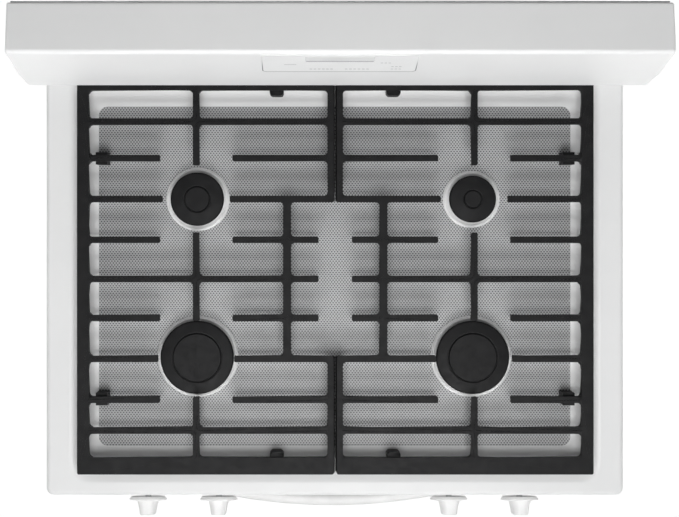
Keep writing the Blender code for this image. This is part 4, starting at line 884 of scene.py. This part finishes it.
def face_pane(node, lift, trim, corner, steps, thick):
    """(bmesh, half width, height, place) of a pane on the backguard's upper face.

    Its own axes are x right, y up the face and z out, so its material can use them.
    """
    low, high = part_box(node)
    half = (high.x - low.x) / 2
    tall = (high.z - low.z) / math.cos(FACE_LEAN) - trim
    outline = rounded_outline(-half, lift - tall / 2, half, tall / 2, corner, steps)
    bm = solid(outline, (-thick / 2, thick / 2), "Z")
    rounded(bm, 0.0003, 2, lambda e: all(v.co.z > 0 for v in e.verts))
    turn = Matrix.Rotation(math.radians(90) - FACE_LEAN, 4, "X")
    return bm, half, tall, Matrix.Translation((low + high) / 2) @ turn


def keypad_and_display():
    """The membrane on the backguard's face and the unlit display lens on it."""
    node = "keypad_overlay"
    bm, half, tall, place = face_pane(node, KEYPAD_LIFT, 0.0004, KEYPAD_CORNER, 6, 0.0010)
    surface = keypad(half, tall - KEYPAD_LIFT, KEYPAD_LIFT / 2)
    even_normals(new_piece("keypad_membrane", bm, surface, node, place))
    node = "display_window"
    bm, _, tall, place = face_pane(node, DISPLAY_LIFT, 0.0002, DISPLAY_CORNER, 4, 0.0008)
    even_normals(new_piece("display_lens", bm, display(DISPLAY_LIFT - tall / 2), node, place))


# --- knobs and control panel

KNOB_BACK = 0.0038
KNOB_RADIUS = 0.0255
KNOB_FRONT = 0.0098
KNOB_TIP = 0.0285
TIP_ROUND = 0.0022
GRIP_HALF = (0.0125, 0.0225)
GRIP_TIP_HALF = (0.0100, 0.0200)
GRIP_LEVELS = 7
GRIP_FLARE = 0.0016
POINTER_HALF = 0.0008
POINTER_RISE = 0.00008


def knob_transform(joint):
    """Local z along the knob's turning axis, out of the panel; local y up the panel."""
    axis = Vector(JOINTS[joint]["axis"]).normalized()
    across = Vector((1, 0, 0))
    turn = Matrix((across, axis.cross(across), axis)).transposed().to_4x4()
    return Matrix.Translation(Vector(JOINTS[joint]["pos_m"])) @ turn


def knob(number, plastic, ink):
    """Flared skirt, tapered grip with soft corners, and a printed pointer line."""
    node = f"knob_{number}"
    transform = knob_transform(f"{node}_turn")
    back, radius, front = KNOB_BACK, KNOB_RADIUS, KNOB_FRONT
    profile = [(0, back + 0.002), (radius - 0.006, back + 0.002), (radius - 0.004, back)]
    profile += [(radius - 0.003, back)]
    profile += arc_points((radius - 0.0015, front - 0.0022), 0.0015, -20, 70, 5)
    profile += [(radius - 0.006, front - 0.0002), (radius - 0.012, front + 0.0012), (0, front + 0.0018)]
    loops = []
    start = front - 0.001
    for k in range(GRIP_LEVELS + 1):
        t = k / GRIP_LEVELS
        flare = GRIP_FLARE * (1 - t) ** 3
        half_x = GRIP_HALF[0] + (GRIP_TIP_HALF[0] - GRIP_HALF[0]) * t ** 0.9 + flare
        half_y = GRIP_HALF[1] + (GRIP_TIP_HALF[1] - GRIP_HALF[1]) * t ** 1.4 + flare * 0.3
        loops.append((half_x, half_y, start + (KNOB_TIP - TIP_ROUND - start) * t, half_x * 0.72))
    tip = loops[-1]
    for k in range(1, 6):
        angle = math.radians(18 * k)
        inward = TIP_ROUND * (1 - math.cos(angle))
        rise = TIP_ROUND * math.sin(angle)
        loops.append((tip[0] - inward, tip[1] - inward, tip[2] + rise, tip[3] - inward))
    grip = bmesh.new()
    loft(grip, [level_outline((-a, -b, a, b), z, r, 6) for a, b, z, r in loops], capped=True)
    whole = joined([turned(profile, steps=72), grip])
    even_normals(new_piece(f"{node}_moulding", whole, plastic, node, transform), 35)
    start = (-POINTER_HALF, GRIP_TIP_HALF[1] * 0.25, KNOB_TIP - 0.0002)
    end = (POINTER_HALF, GRIP_TIP_HALF[1] - 0.0025, KNOB_TIP + POINTER_RISE)
    pointer = rounded(block(start, end), 0.0001, 1)
    new_piece(f"{node}_pointer", pointer, ink, None, transform, node)


TICK_STEP = math.tau / 16
TICK_REACH = 0.0305
TICK_HALF = 0.0015


def panel_enamel():
    """The panel's white enamel with printed setting ticks around the right-hand knobs."""
    made = white_enamel("panel_enamel")
    x, _, z = made.axes()
    up = made.math("SUBTRACT", z, JOINTS["knob_1_turn"]["pos_m"][2])
    ticks = []
    for number in (3, 4):
        centre = abs(JOINTS[f"knob_{number}_turn"]["pos_m"][0])
        side = made.math("SUBTRACT", made.away(x), centre)
        angle = made.math("ADD", made.math("ARCTAN2", up, side), TICK_STEP / 2)
        tick = made.inside(made.away(made.beat(angle, TICK_STEP)), 0.035, 0.015)
        ring = made.away(made.length(side, up), TICK_REACH)
        ticks.append(made.math("MULTIPLY", tick, made.inside(ring, TICK_HALF, 0.0001)))
    made.feed("Base Color", made.blend(made.union(ticks), made.base(), (0.05, 0.05, 0.055)))
    return made


PANEL_ROUND = 0.003
PANEL_LEAN = math.radians(8.0)
STEM_HOLE = 0.0062


def control_panel():
    """The leaning front panel with softened folds, open where the stems pass."""
    low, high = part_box("control_panel")
    lean = math.tan(PANEL_LEAN) * (high.z - low.z)
    outline = [(low.y + lean, high.z), (low.y, low.z), (high.y, low.z), (high.y, high.z)]
    bm = solid(outline, (low.x, high.x))
    rounded(bm, PANEL_ROUND, 4, lambda e: any(v.co.y < high.y - 0.001 for v in e.verts))
    obj = new_piece("control_panel_sheet", bm, panel_enamel(), "control_panel")
    start = (low.x + SHEET, low.y + lean + SHEET + 0.001, low.z + SHEET)
    holes = [block(start, (high.x - SHEET, high.y + 0.01, high.z - SHEET))]
    shape = [(0, -0.02), (STEM_HOLE, -0.02), (STEM_HOLE, 0.01), (0, 0.01)]
    holes += [turned(shape, knob_transform(f"knob_{number}_turn"), 32) for number in range(1, 5)]
    carved(obj, holes)
    even_normals(obj)


# --- door, handle and drawer

DOOR_ROUND = 0.004
HINGE_ROOM = 0.0015
WINDOW_CORNER = 0.012
WINDOW_LAP = 0.020


def front_tray(name, node, surface, window=None):
    """A pressed front: rounded face edges, turned-back sides, open at the rear."""
    low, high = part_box(node)
    bm = block(low, high)
    rounded(bm, DOOR_ROUND, 5, lambda e: any(v.co.y < high.y - 0.001 for v in e.verts))
    obj = new_piece(name, bm, surface, node)
    start = (low.x + SHEET, low.y + SHEET, low.z + SHEET)
    cutters = [block(start, (high.x - SHEET, high.y + 0.01, high.z - SHEET))]
    if window:
        for hinge in ("door_hinge_left", "door_hinge_right"):
            arm_low, arm_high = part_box(hinge)
            start = (arm_low.x - HINGE_ROOM, low.y + SHEET + 0.0004, low.z - 0.01)
            end = (arm_high.x + HINGE_ROOM, high.y + 0.01, low.z + SHEET + HINGE_ROOM)
            cutters.append(block(start, end))
        (x0, z0), (x1, z1) = window
        opening = block((x0, low.y - 0.01, z0), (x1, low.y + 0.01, z1))
        cutters.append(rounded(opening, WINDOW_CORNER, 6, runs_along_y))
    carved(obj, cutters)
    even_normals(obj)


BORDER_DOTS = 0.0032


def door_glass():
    """Tinted glass with a printed black border that fades out in dots."""
    made = Surface("door_glass", (0.012, 0.012, 0.013), 0.06, Coat_Weight=0.6, Coat_Roughness=0.03)
    made.set("IOR", 1.5)
    x, _, z = made.axes()
    low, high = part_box("door_window_glass")
    far_x = made.math("SUBTRACT", made.away(x), high.x - WINDOW_LAP)
    half_z = (high.z - low.z) / 2 - WINDOW_LAP
    far_z = made.math("SUBTRACT", made.away(z, (low.z + high.z) / 2), half_z)
    border = made.math("MAXIMUM", far_x, far_z)
    reach = made.length(made.beat(x, BORDER_DOTS), made.beat(z, BORDER_DOTS))
    size = made.smooth(border, -0.040, -0.012, 0.05, 0.75)
    dots = made.inside(made.math("SUBTRACT", reach, size), 0.0, 0.03)
    printed = made.union([dots, made.smooth(border, -0.0125, -0.012)])
    made.feed("Transmission Weight", made.smooth(printed, 0.2, 0.8, 0.85, 0.0))
    made.feed("Base Color", made.blend(printed, (0.13, 0.13, 0.14), (0.010, 0.010, 0.011)))
    return made


HANDLE_ROUND = 0.006
HANDLE_DEPTH = 0.015
HANDLE_BOW = 0.783
HANDLE_SWELL = 1.6
SWELL_FROM = 0.86
HANDLE_STATIONS = 40


def door_handle(plastic):
    """A bowed grip with a soft rectangular section that swells into the door at its ends."""
    low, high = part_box("door_handle")
    half = high.x
    middle = (low.z + high.z) / 2
    loops = []
    for k in range(HANDLE_STATIONS + 1):
        x = -half + 2 * half * k / HANDLE_STATIONS
        out = abs(x) / half
        front = low.y + HANDLE_BOW - math.sqrt(HANDLE_BOW ** 2 - x * x)
        swell = HANDLE_SWELL * max(0.0, out - SWELL_FROM) / (1 - SWELL_FROM)
        rear = min(high.y, front + HANDLE_DEPTH * (1 + swell))
        tall = (high.z - low.z) / 2 - 0.0015 * out ** 4
        room = max(0.0012, min(HANDLE_ROUND, (rear - front) / 2 - 0.0004))
        outline = rounded_outline(front, middle - tall, rear, middle + tall, room, 5)
        loops.append([Vector((x, y, z)) for y, z in outline])
    bm = bmesh.new()
    loft(bm, loops, capped=True)
    even_normals(new_piece("door_handle_bar", bm, plastic, "door_handle"), 50)


# --- the rest of the metalwork, glass and trim


def softened(node, surface, width):
    """The node's own shape with its folds and edges rounded."""
    bm = welded(node)
    limit = math.radians(25)
    edges = [e for e in bm.edges if len(e.link_faces) == 2 and e.calc_face_angle(0) > limit]
    bevel(bm, edges, width, 2)
    even_normals(new_piece(f"{node}_finished", bm, surface, node))


def galvanised():
    """Zinc-coated sheet with its crystal spangle."""
    made = Surface("galvanised_sheet", (0.56, 0.57, 0.58), 0.4, Metallic=1.0)
    spangle = made.cells(0.009, output="Color")
    shade = made.smooth(spangle, 0.1, 0.9)
    made.feed("Base Color", made.blend(shade, (0.47, 0.48, 0.49), (0.64, 0.65, 0.66)))
    made.feed("Roughness", made.smooth(spangle, 0.0, 1.0, 0.3, 0.5))
    made.grain(0.0012, 0.00003, 0.4, 2.0)
    return made


def flecked_enamel():
    """Dark grey oven enamel with small pale flecks."""
    made = Surface("oven_enamel", (0.05, 0.052, 0.058), 0.22, Coat_Weight=0.3, Coat_Roughness=0.08)
    made.mottled((0.040, 0.042, 0.048), (0.060, 0.062, 0.070), 0.06)
    fleck = made.smooth(made.cells(0.0042), 0.09, 0.14, 1.0, 0.0)
    fine = made.smooth(made.noise(0.0007, 1.0), 0.70, 0.74)
    made.feed("Base Color", made.blend(made.union([fleck, fine]), made.base(), (0.42, 0.43, 0.45)))
    made.grain(0.003, 0.00004, 0.5)
    return made


def plated(name, colour, roughness):
    """Bright metal with faint drawn streaks and tarnish."""
    made = Surface(name, colour, roughness, Metallic=1.0)
    made.mottled(tuple(c * 0.86 for c in colour), colour, 0.006, 4.0, 0.3, 0.75)
    made.satin(roughness * 0.8, roughness * 1.3, 0.002)
    made.grain(0.0008, 0.00002, 0.4, 2.0)
    return made


def black_plastic():
    """Dark moulding with a fine texture."""
    made = Surface("black_moulding", (0.018, 0.018, 0.019), 0.45)
    made.mottled((0.014, 0.014, 0.015), (0.024, 0.024, 0.025), 0.02)
    made.satin(0.38, 0.55, 0.003)
    made.grain(0.0006, 0.00004, 0.5)
    return made


def circuit_board():
    """Green solder mask with copper tracks showing through and pale component blocks."""
    made = Surface("board_mask", (0.01, 0.09, 0.03), 0.35)
    track = made.smooth(made.cells(0.004, "DISTANCE_TO_EDGE"), 0.05, 0.09, 1.0, 0.0)
    green = made.blend(track, (0.008, 0.075, 0.028), (0.02, 0.16, 0.05))
    pad = made.smooth(made.cells(0.006), 0.12, 0.16, 1.0, 0.0)
    made.feed("Base Color", made.blend(pad, green, (0.55, 0.54, 0.50)))
    made.bump(pad, 0.0003, 0.6)
    return made


def mineral_wool():
    """Matted yellow-grey fibres."""
    made = Surface("wool_fibres", (0.55, 0.50, 0.36), 0.95, Sheen_Weight=0.4)
    fibre = made.math("ADD", made.noise(0.002, 6.0, 0.7), made.noise(0.012, 4.0))
    tone = made.smooth(fibre, 0.7, 1.3)
    made.feed("Base Color", made.blend(tone, (0.40, 0.36, 0.25), (0.66, 0.61, 0.46)))
    made.bump(fibre, 0.0012, 0.9)
    return made


BRAID_PITCH = 0.0032


def gasket_braid():
    """Woven glass-fibre sleeve in pale and dark grey."""
    made = Surface("braided_sleeve", (0.3, 0.3, 0.3), 0.8)
    x, _, z = made.axes()
    leans = [made.math(operation, x, z) for operation in ("ADD", "SUBTRACT")]
    waves = [made.math("SINE", made.math("MULTIPLY", lean, math.tau / BRAID_PITCH)) for lean in leans]
    weave = made.math("MULTIPLY", *waves)
    tone = made.smooth(weave, -0.6, 0.6)
    made.feed("Base Color", made.blend(tone, (0.16, 0.16, 0.165), (0.46, 0.46, 0.47)))
    made.bump(weave, 0.0006, 0.8)
    return made


def pane(name, tint, roughness):
    """Clear sheet glass with a faint film."""
    made = Surface(name, tint, roughness, Transmission_Weight=0.92, Coat_Weight=0.2)
    made.set("IOR", 1.5)
    made.mottled(tint, tuple(c * 0.93 for c in tint), 0.05, 4.0)
    made.satin(roughness, roughness + 0.05, 0.01)
    return made


LENS_RIPPLES = 4
RIPPLE_STEPS = 6


def ribbed_lens(surface):
    """The oven lamp's pressed glass: a dome with ripples in a rim, facing forwards."""
    node = "oven_light_lens"
    low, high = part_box(node)
    middle = (low + high) / 2
    radius = (high.x - low.x) / 2
    deep = high.y - low.y
    profile = [(0, deep * 0.96)]
    points = LENS_RIPPLES * RIPPLE_STEPS
    for k in range(1, points + 1):
        share = k / points
        fall = deep * 0.94 - deep * 0.42 * share ** 2
        wave = deep * 0.04 * math.cos(share * LENS_RIPPLES * math.tau)
        profile.append((radius * 0.86 * share, fall + wave))
    profile += [(radius * 0.92, deep * 0.45), (radius * 0.98, deep * 0.42), (radius, deep * 0.36)]
    profile += [(radius, 0.0), (0, 0.0)]
    turn = Matrix.Translation((middle.x, high.y, middle.z)) @ Matrix.Rotation(math.radians(90), 4, "X")
    even_normals(new_piece("lamp_lens", turned(profile, turn, 48), surface, node), 50)


RACK_WIRE = 0.0017
RACK_RODS = 17
RACK_CORNER = 0.022
CROSS_ROD = 0.0014
CROSS_PLACES = (0.27, 0.73)


def rack(node, chrome):
    """Plated wires on a bent border rod, with two rods across beneath them."""
    low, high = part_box(node)
    border = (high.z - low.z) / 2
    level = (high.z + low.z) / 2
    x, front, rear = high.x - border, low.y + border, high.y - border
    corners = [(0, rear), (-x, rear), (-x, front), (x, front), (x, rear), (0, rear)]
    wires = [tube_along(bent([(a, b, level) for a, b in corners], RACK_CORNER, 6), border)]
    wire_level = high.z - RACK_WIRE
    for k in range(RACK_RODS):
        place = (k - (RACK_RODS - 1) / 2) / ((RACK_RODS + 1) / 2) * x
        wires.append(tube_along([(place, front, wire_level), (place, rear, wire_level)], RACK_WIRE, 8))
    rod_level = low.z + CROSS_ROD
    for share in CROSS_PLACES:
        y = front + (rear - front) * share
        wires.append(tube_along([(-x, y, rod_level), (x, y, rod_level)], CROSS_ROD, 8))
    even_normals(new_piece(f"{node}_wires", joined(wires), chrome, node), 60)


STUD_RADIUS = 0.0042
THREAD_PITCH = 0.00125
THREAD_DEPTH = 0.0006
SOLE_CHAMFER = 0.002
SOLE_TOP = 0.0095


def leg(node, surface):
    """Threaded stud in a six-sided foot with a chamfered sole."""
    low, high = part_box(node)
    middle = (low + high) / 2
    tall = high.z - low.z
    foot = (high.y - low.y) / 2 * 0.99
    inner = foot - SOLE_CHAMFER
    turn = Matrix.Translation((middle.x, middle.y, low.z))
    sole = [(0, 0), (inner, 0), (foot, SOLE_CHAMFER), (foot, 0.008), (inner, SOLE_TOP), (0, SOLE_TOP)]
    thread = [(0, 0.009), (STUD_RADIUS, 0.009)]
    root = STUD_RADIUS - THREAD_DEPTH
    for k in range(int((tall - 0.011) / THREAD_PITCH)):
        z = 0.010 + k * THREAD_PITCH
        thread += [(root, z), (STUD_RADIUS, z + THREAD_PITCH / 2)]
    thread += [(root, tall - 0.0004), (0, tall - 0.0002)]
    whole = joined([turned(sole, turn, 6), turned(thread, turn, 16)])
    even_normals(new_piece(f"{node}_screw", whole, surface, node), 30)


WASHER = ((0, -0.0006), (0.0050, -0.0006), (0.0050, 0.0003), (0.0046, 0.0006), (0, 0.0006))
SCREW_HEAD = ((0, 0), (0.0034, 0), (0.0034, 0.0018), (0.0029, 0.0023), (0, 0.0023))


def screws(name, points, steel):
    """Hexagonal washer-head screws standing on a rear face of the body."""
    heads = []
    for point in points:
        turn = Matrix.Translation(point) @ Matrix.Rotation(math.radians(-90), 4, "X")
        heads += [turned(WASHER, turn, 20), turned(SCREW_HEAD, turn, 6)]
    even_normals(new_piece(name, joined(heads), steel), 30)


PANEL_SCREW_INSET = 0.008
PANEL_SCREW_END = 0.02
COVER_SCREW_INSET = 0.012
COVER_SCREW_DROP = 0.030


def rear_screws(steel):
    """Screws round the back panel, and two rows on the backguard's cover."""
    low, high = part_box("back_panel")
    inset = PANEL_SCREW_INSET
    climb = high.z - low.z - 2 * PANEL_SCREW_END
    points = []
    for k in range(5):
        z = low.z + PANEL_SCREW_END + climb * k / 4
        points += [(x, high.y, z) for x in (low.x + inset, high.x - inset)]
    for k in range(1, 5):
        x = low.x + (high.x - low.x) * k / 5
        points += [(x, high.y, z) for z in (low.z + inset, high.z - inset)]
    screws("back_panel_screws", points, steel)
    low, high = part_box("backguard_back_cover")
    inset = COVER_SCREW_INSET
    span = high.x - low.x - 2 * inset
    points = []
    for k in range(6):
        x = low.x + inset + span * k / 5
        points += [(x, high.y, z) for z in (low.z + inset, high.z - COVER_SCREW_DROP)]
    screws("backguard_cover_screws", points, steel)


def finishes(enamel, iron, aluminium, plastic):
    """The material for each slot that a softened node takes."""
    return {
        "white_enamel": enamel,
        "grey_enamel": flecked_enamel(),
        "galvanised_steel": galvanised(),
        "chrome": plated("bright_plating", (0.76, 0.76, 0.77), 0.14),
        "aluminium": aluminium,
        "brass": plated("brass_fitting", (0.72, 0.53, 0.24), 0.26),
        "white_plastic": plastic,
        "black_plastic": black_plastic(),
        "mineral_wool": mineral_wool(),
        "gasket_braid": gasket_braid(),
        "cast_iron": iron,
        "tinted_glass": pane("inner_pane", (0.86, 0.87, 0.87), 0.02),
        "lens_glass": pane("lamp_glass", (0.93, 0.93, 0.91), 0.06),
    }


SOFT_EDGES = {
    "side_panel_left": 0.0005,
    "side_panel_right": 0.0005,
    "insulation_wrap": 0.004,
    "door_gasket": 0.0022,
    "oven_cavity": 0.0004,
    "gas_regulator": 0.0015,
    "cord_gland": 0.0012,
    "door_inner_glass": 0.0006,
    "door_window_glass": 0.0006,
}
COMMON_EDGE = 0.0004


def remaining(finish, done):
    """Every node that has no piece of its own keeps its shape, with rounded edges."""
    special = {"door_window_glass": door_glass(), "control_board": circuit_board()}
    for node in sorted(set(NODES) - done):
        surface = special.get(node, finish[SLOT_OF[node]])
        softened(node, surface, SOFT_EDGES.get(node, COMMON_EDGE))


# --- stage, lights, camera


def area_light(name, place, target, size, power, spread):
    data = bpy.data.lights.new(name, "AREA")
    data.shape = "RECTANGLE"
    data.size, data.size_y = size
    data.energy = power
    data.spread = math.radians(spread)
    obj = placed(name, data)
    obj.location = place
    obj.rotation_mode = "QUATERNION"
    obj.rotation_quaternion = (Vector(target) - Vector(place)).to_track_quat("-Z", "Y")


# name, place, the point it faces, size, watts, spread in degrees
LIGHTS = (
    ("front_softbox", (0.0, -1.3, 2.35), (0.0, 0.15, 1.05), (1.6, 0.6), 3.5, 60),
    ("overhead_softbox", (0.0, -0.6, 3.1), (0.0, 0.0, 0.9), (1.2, 0.8), 24, 180),
)
HORIZON = 0.85
SKY = 0.18
HORIZON_HEIGHT = 0.14
FLOOR_GLOW = 0.6
FLOOR_REACH = 40.0


def pale_horizon(tree, background):
    """The surround is as pale as the floor where they meet, and dimmer above."""
    coordinate = tree.nodes.new("ShaderNodeTexCoord")
    split = tree.nodes.new("ShaderNodeSeparateXYZ")
    ease = tree.nodes.new("ShaderNodeMapRange")
    ease.interpolation_type = "SMOOTHSTEP"
    limits = (("From Min", 0.0), ("From Max", HORIZON_HEIGHT), ("To Min", HORIZON), ("To Max", SKY))
    for name, value in limits:
        ease.inputs[name].default_value = value
    tree.links.new(coordinate.outputs["Generated"], split.inputs[0])
    tree.links.new(split.outputs["Z"], ease.inputs["Value"])
    tree.links.new(ease.outputs["Result"], background.inputs["Strength"])


def studio():
    """A pale floor, a pale surround and soft light from the front and above."""
    scene = bpy.context.scene
    scene.view_settings.view_transform = "Standard"
    world = bpy.data.worlds.new("surround")
    scene.world = world
    world.use_nodes = True
    background = world.node_tree.nodes["Background"]
    background.inputs["Color"].default_value = (1, 1, 1, 1)
    pale_horizon(world.node_tree, background)
    floor = Surface("studio_floor", (0.93, 0.93, 0.93), 0.8)
    floor.mottled((0.92, 0.92, 0.92), (0.95, 0.95, 0.95), 0.4)
    floor.set("Emission Color", (1, 1, 1, 1))
    floor.set("Emission Strength", FLOOR_GLOW)
    bm = bmesh.new()
    bmesh.ops.create_grid(bm, x_segments=1, y_segments=1, size=FLOOR_REACH)
    mesh = bpy.data.meshes.new("floor")
    bm.to_mesh(mesh)
    bm.free()
    mesh.materials.append(floor.material)
    placed("floor", mesh)
    for light in LIGHTS:
        area_light(*light)


CAMERA_PLACE = (-0.0456, 0.0695, 2.869)
FOCAL_LENGTH = 78.9
SENSOR = 36.0
SHIFT = (0.058, -0.061)


def camera():
    """Straight down from above the middle of the cooktop, as in a studio top view."""
    data = bpy.data.cameras.new("camera")
    data.lens = FOCAL_LENGTH
    data.sensor_width = SENSOR
    data.shift_x, data.shift_y = SHIFT
    obj = placed("camera", data)
    obj.location = CAMERA_PLACE
    bpy.context.scene.camera = obj


def main():
    camera()
    studio()
    cooktop()
    iron = cast_iron()
    aluminium = turned_aluminium()
    for side in ("left", "right"):
        grate(side, iron)
    for place, (x, y, _, cap) in zip(PLACES, burner_rings()):
        burner_cap(place, x, y, cap, iron)
        burner_head(place, x, y, aluminium)
    enamel = white_enamel()
    plastic = white_plastic()
    ink = Surface("printed_ink", (0.03, 0.03, 0.032), 0.5)
    backguard(enamel)
    keypad_and_display()
    for number in range(1, 5):
        knob(number, plastic, ink)
    control_panel()
    low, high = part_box("door_window_glass")
    window = ((low.x + WINDOW_LAP, low.z + WINDOW_LAP), (high.x - WINDOW_LAP, high.z - WINDOW_LAP))
    front_tray("door_panel", "door_outer_panel", enamel, window)
    front_tray("drawer_panel", "drawer_front", enamel)
    door_handle(plastic)
    finish = finishes(enamel, iron, aluminium, plastic)
    for node in ("oven_rack_lower", "oven_rack_upper"):
        rack(node, finish["chrome"])
    ribbed_lens(finish["lens_glass"])
    for node in sorted(NODES):
        if node.startswith("levelling_leg"):
            leg(node, finish[SLOT_OF[node]])
    rear_screws(finish["chrome"])
    remaining(finish, {node for node in NODES if NODES[node].hide_render})


main()
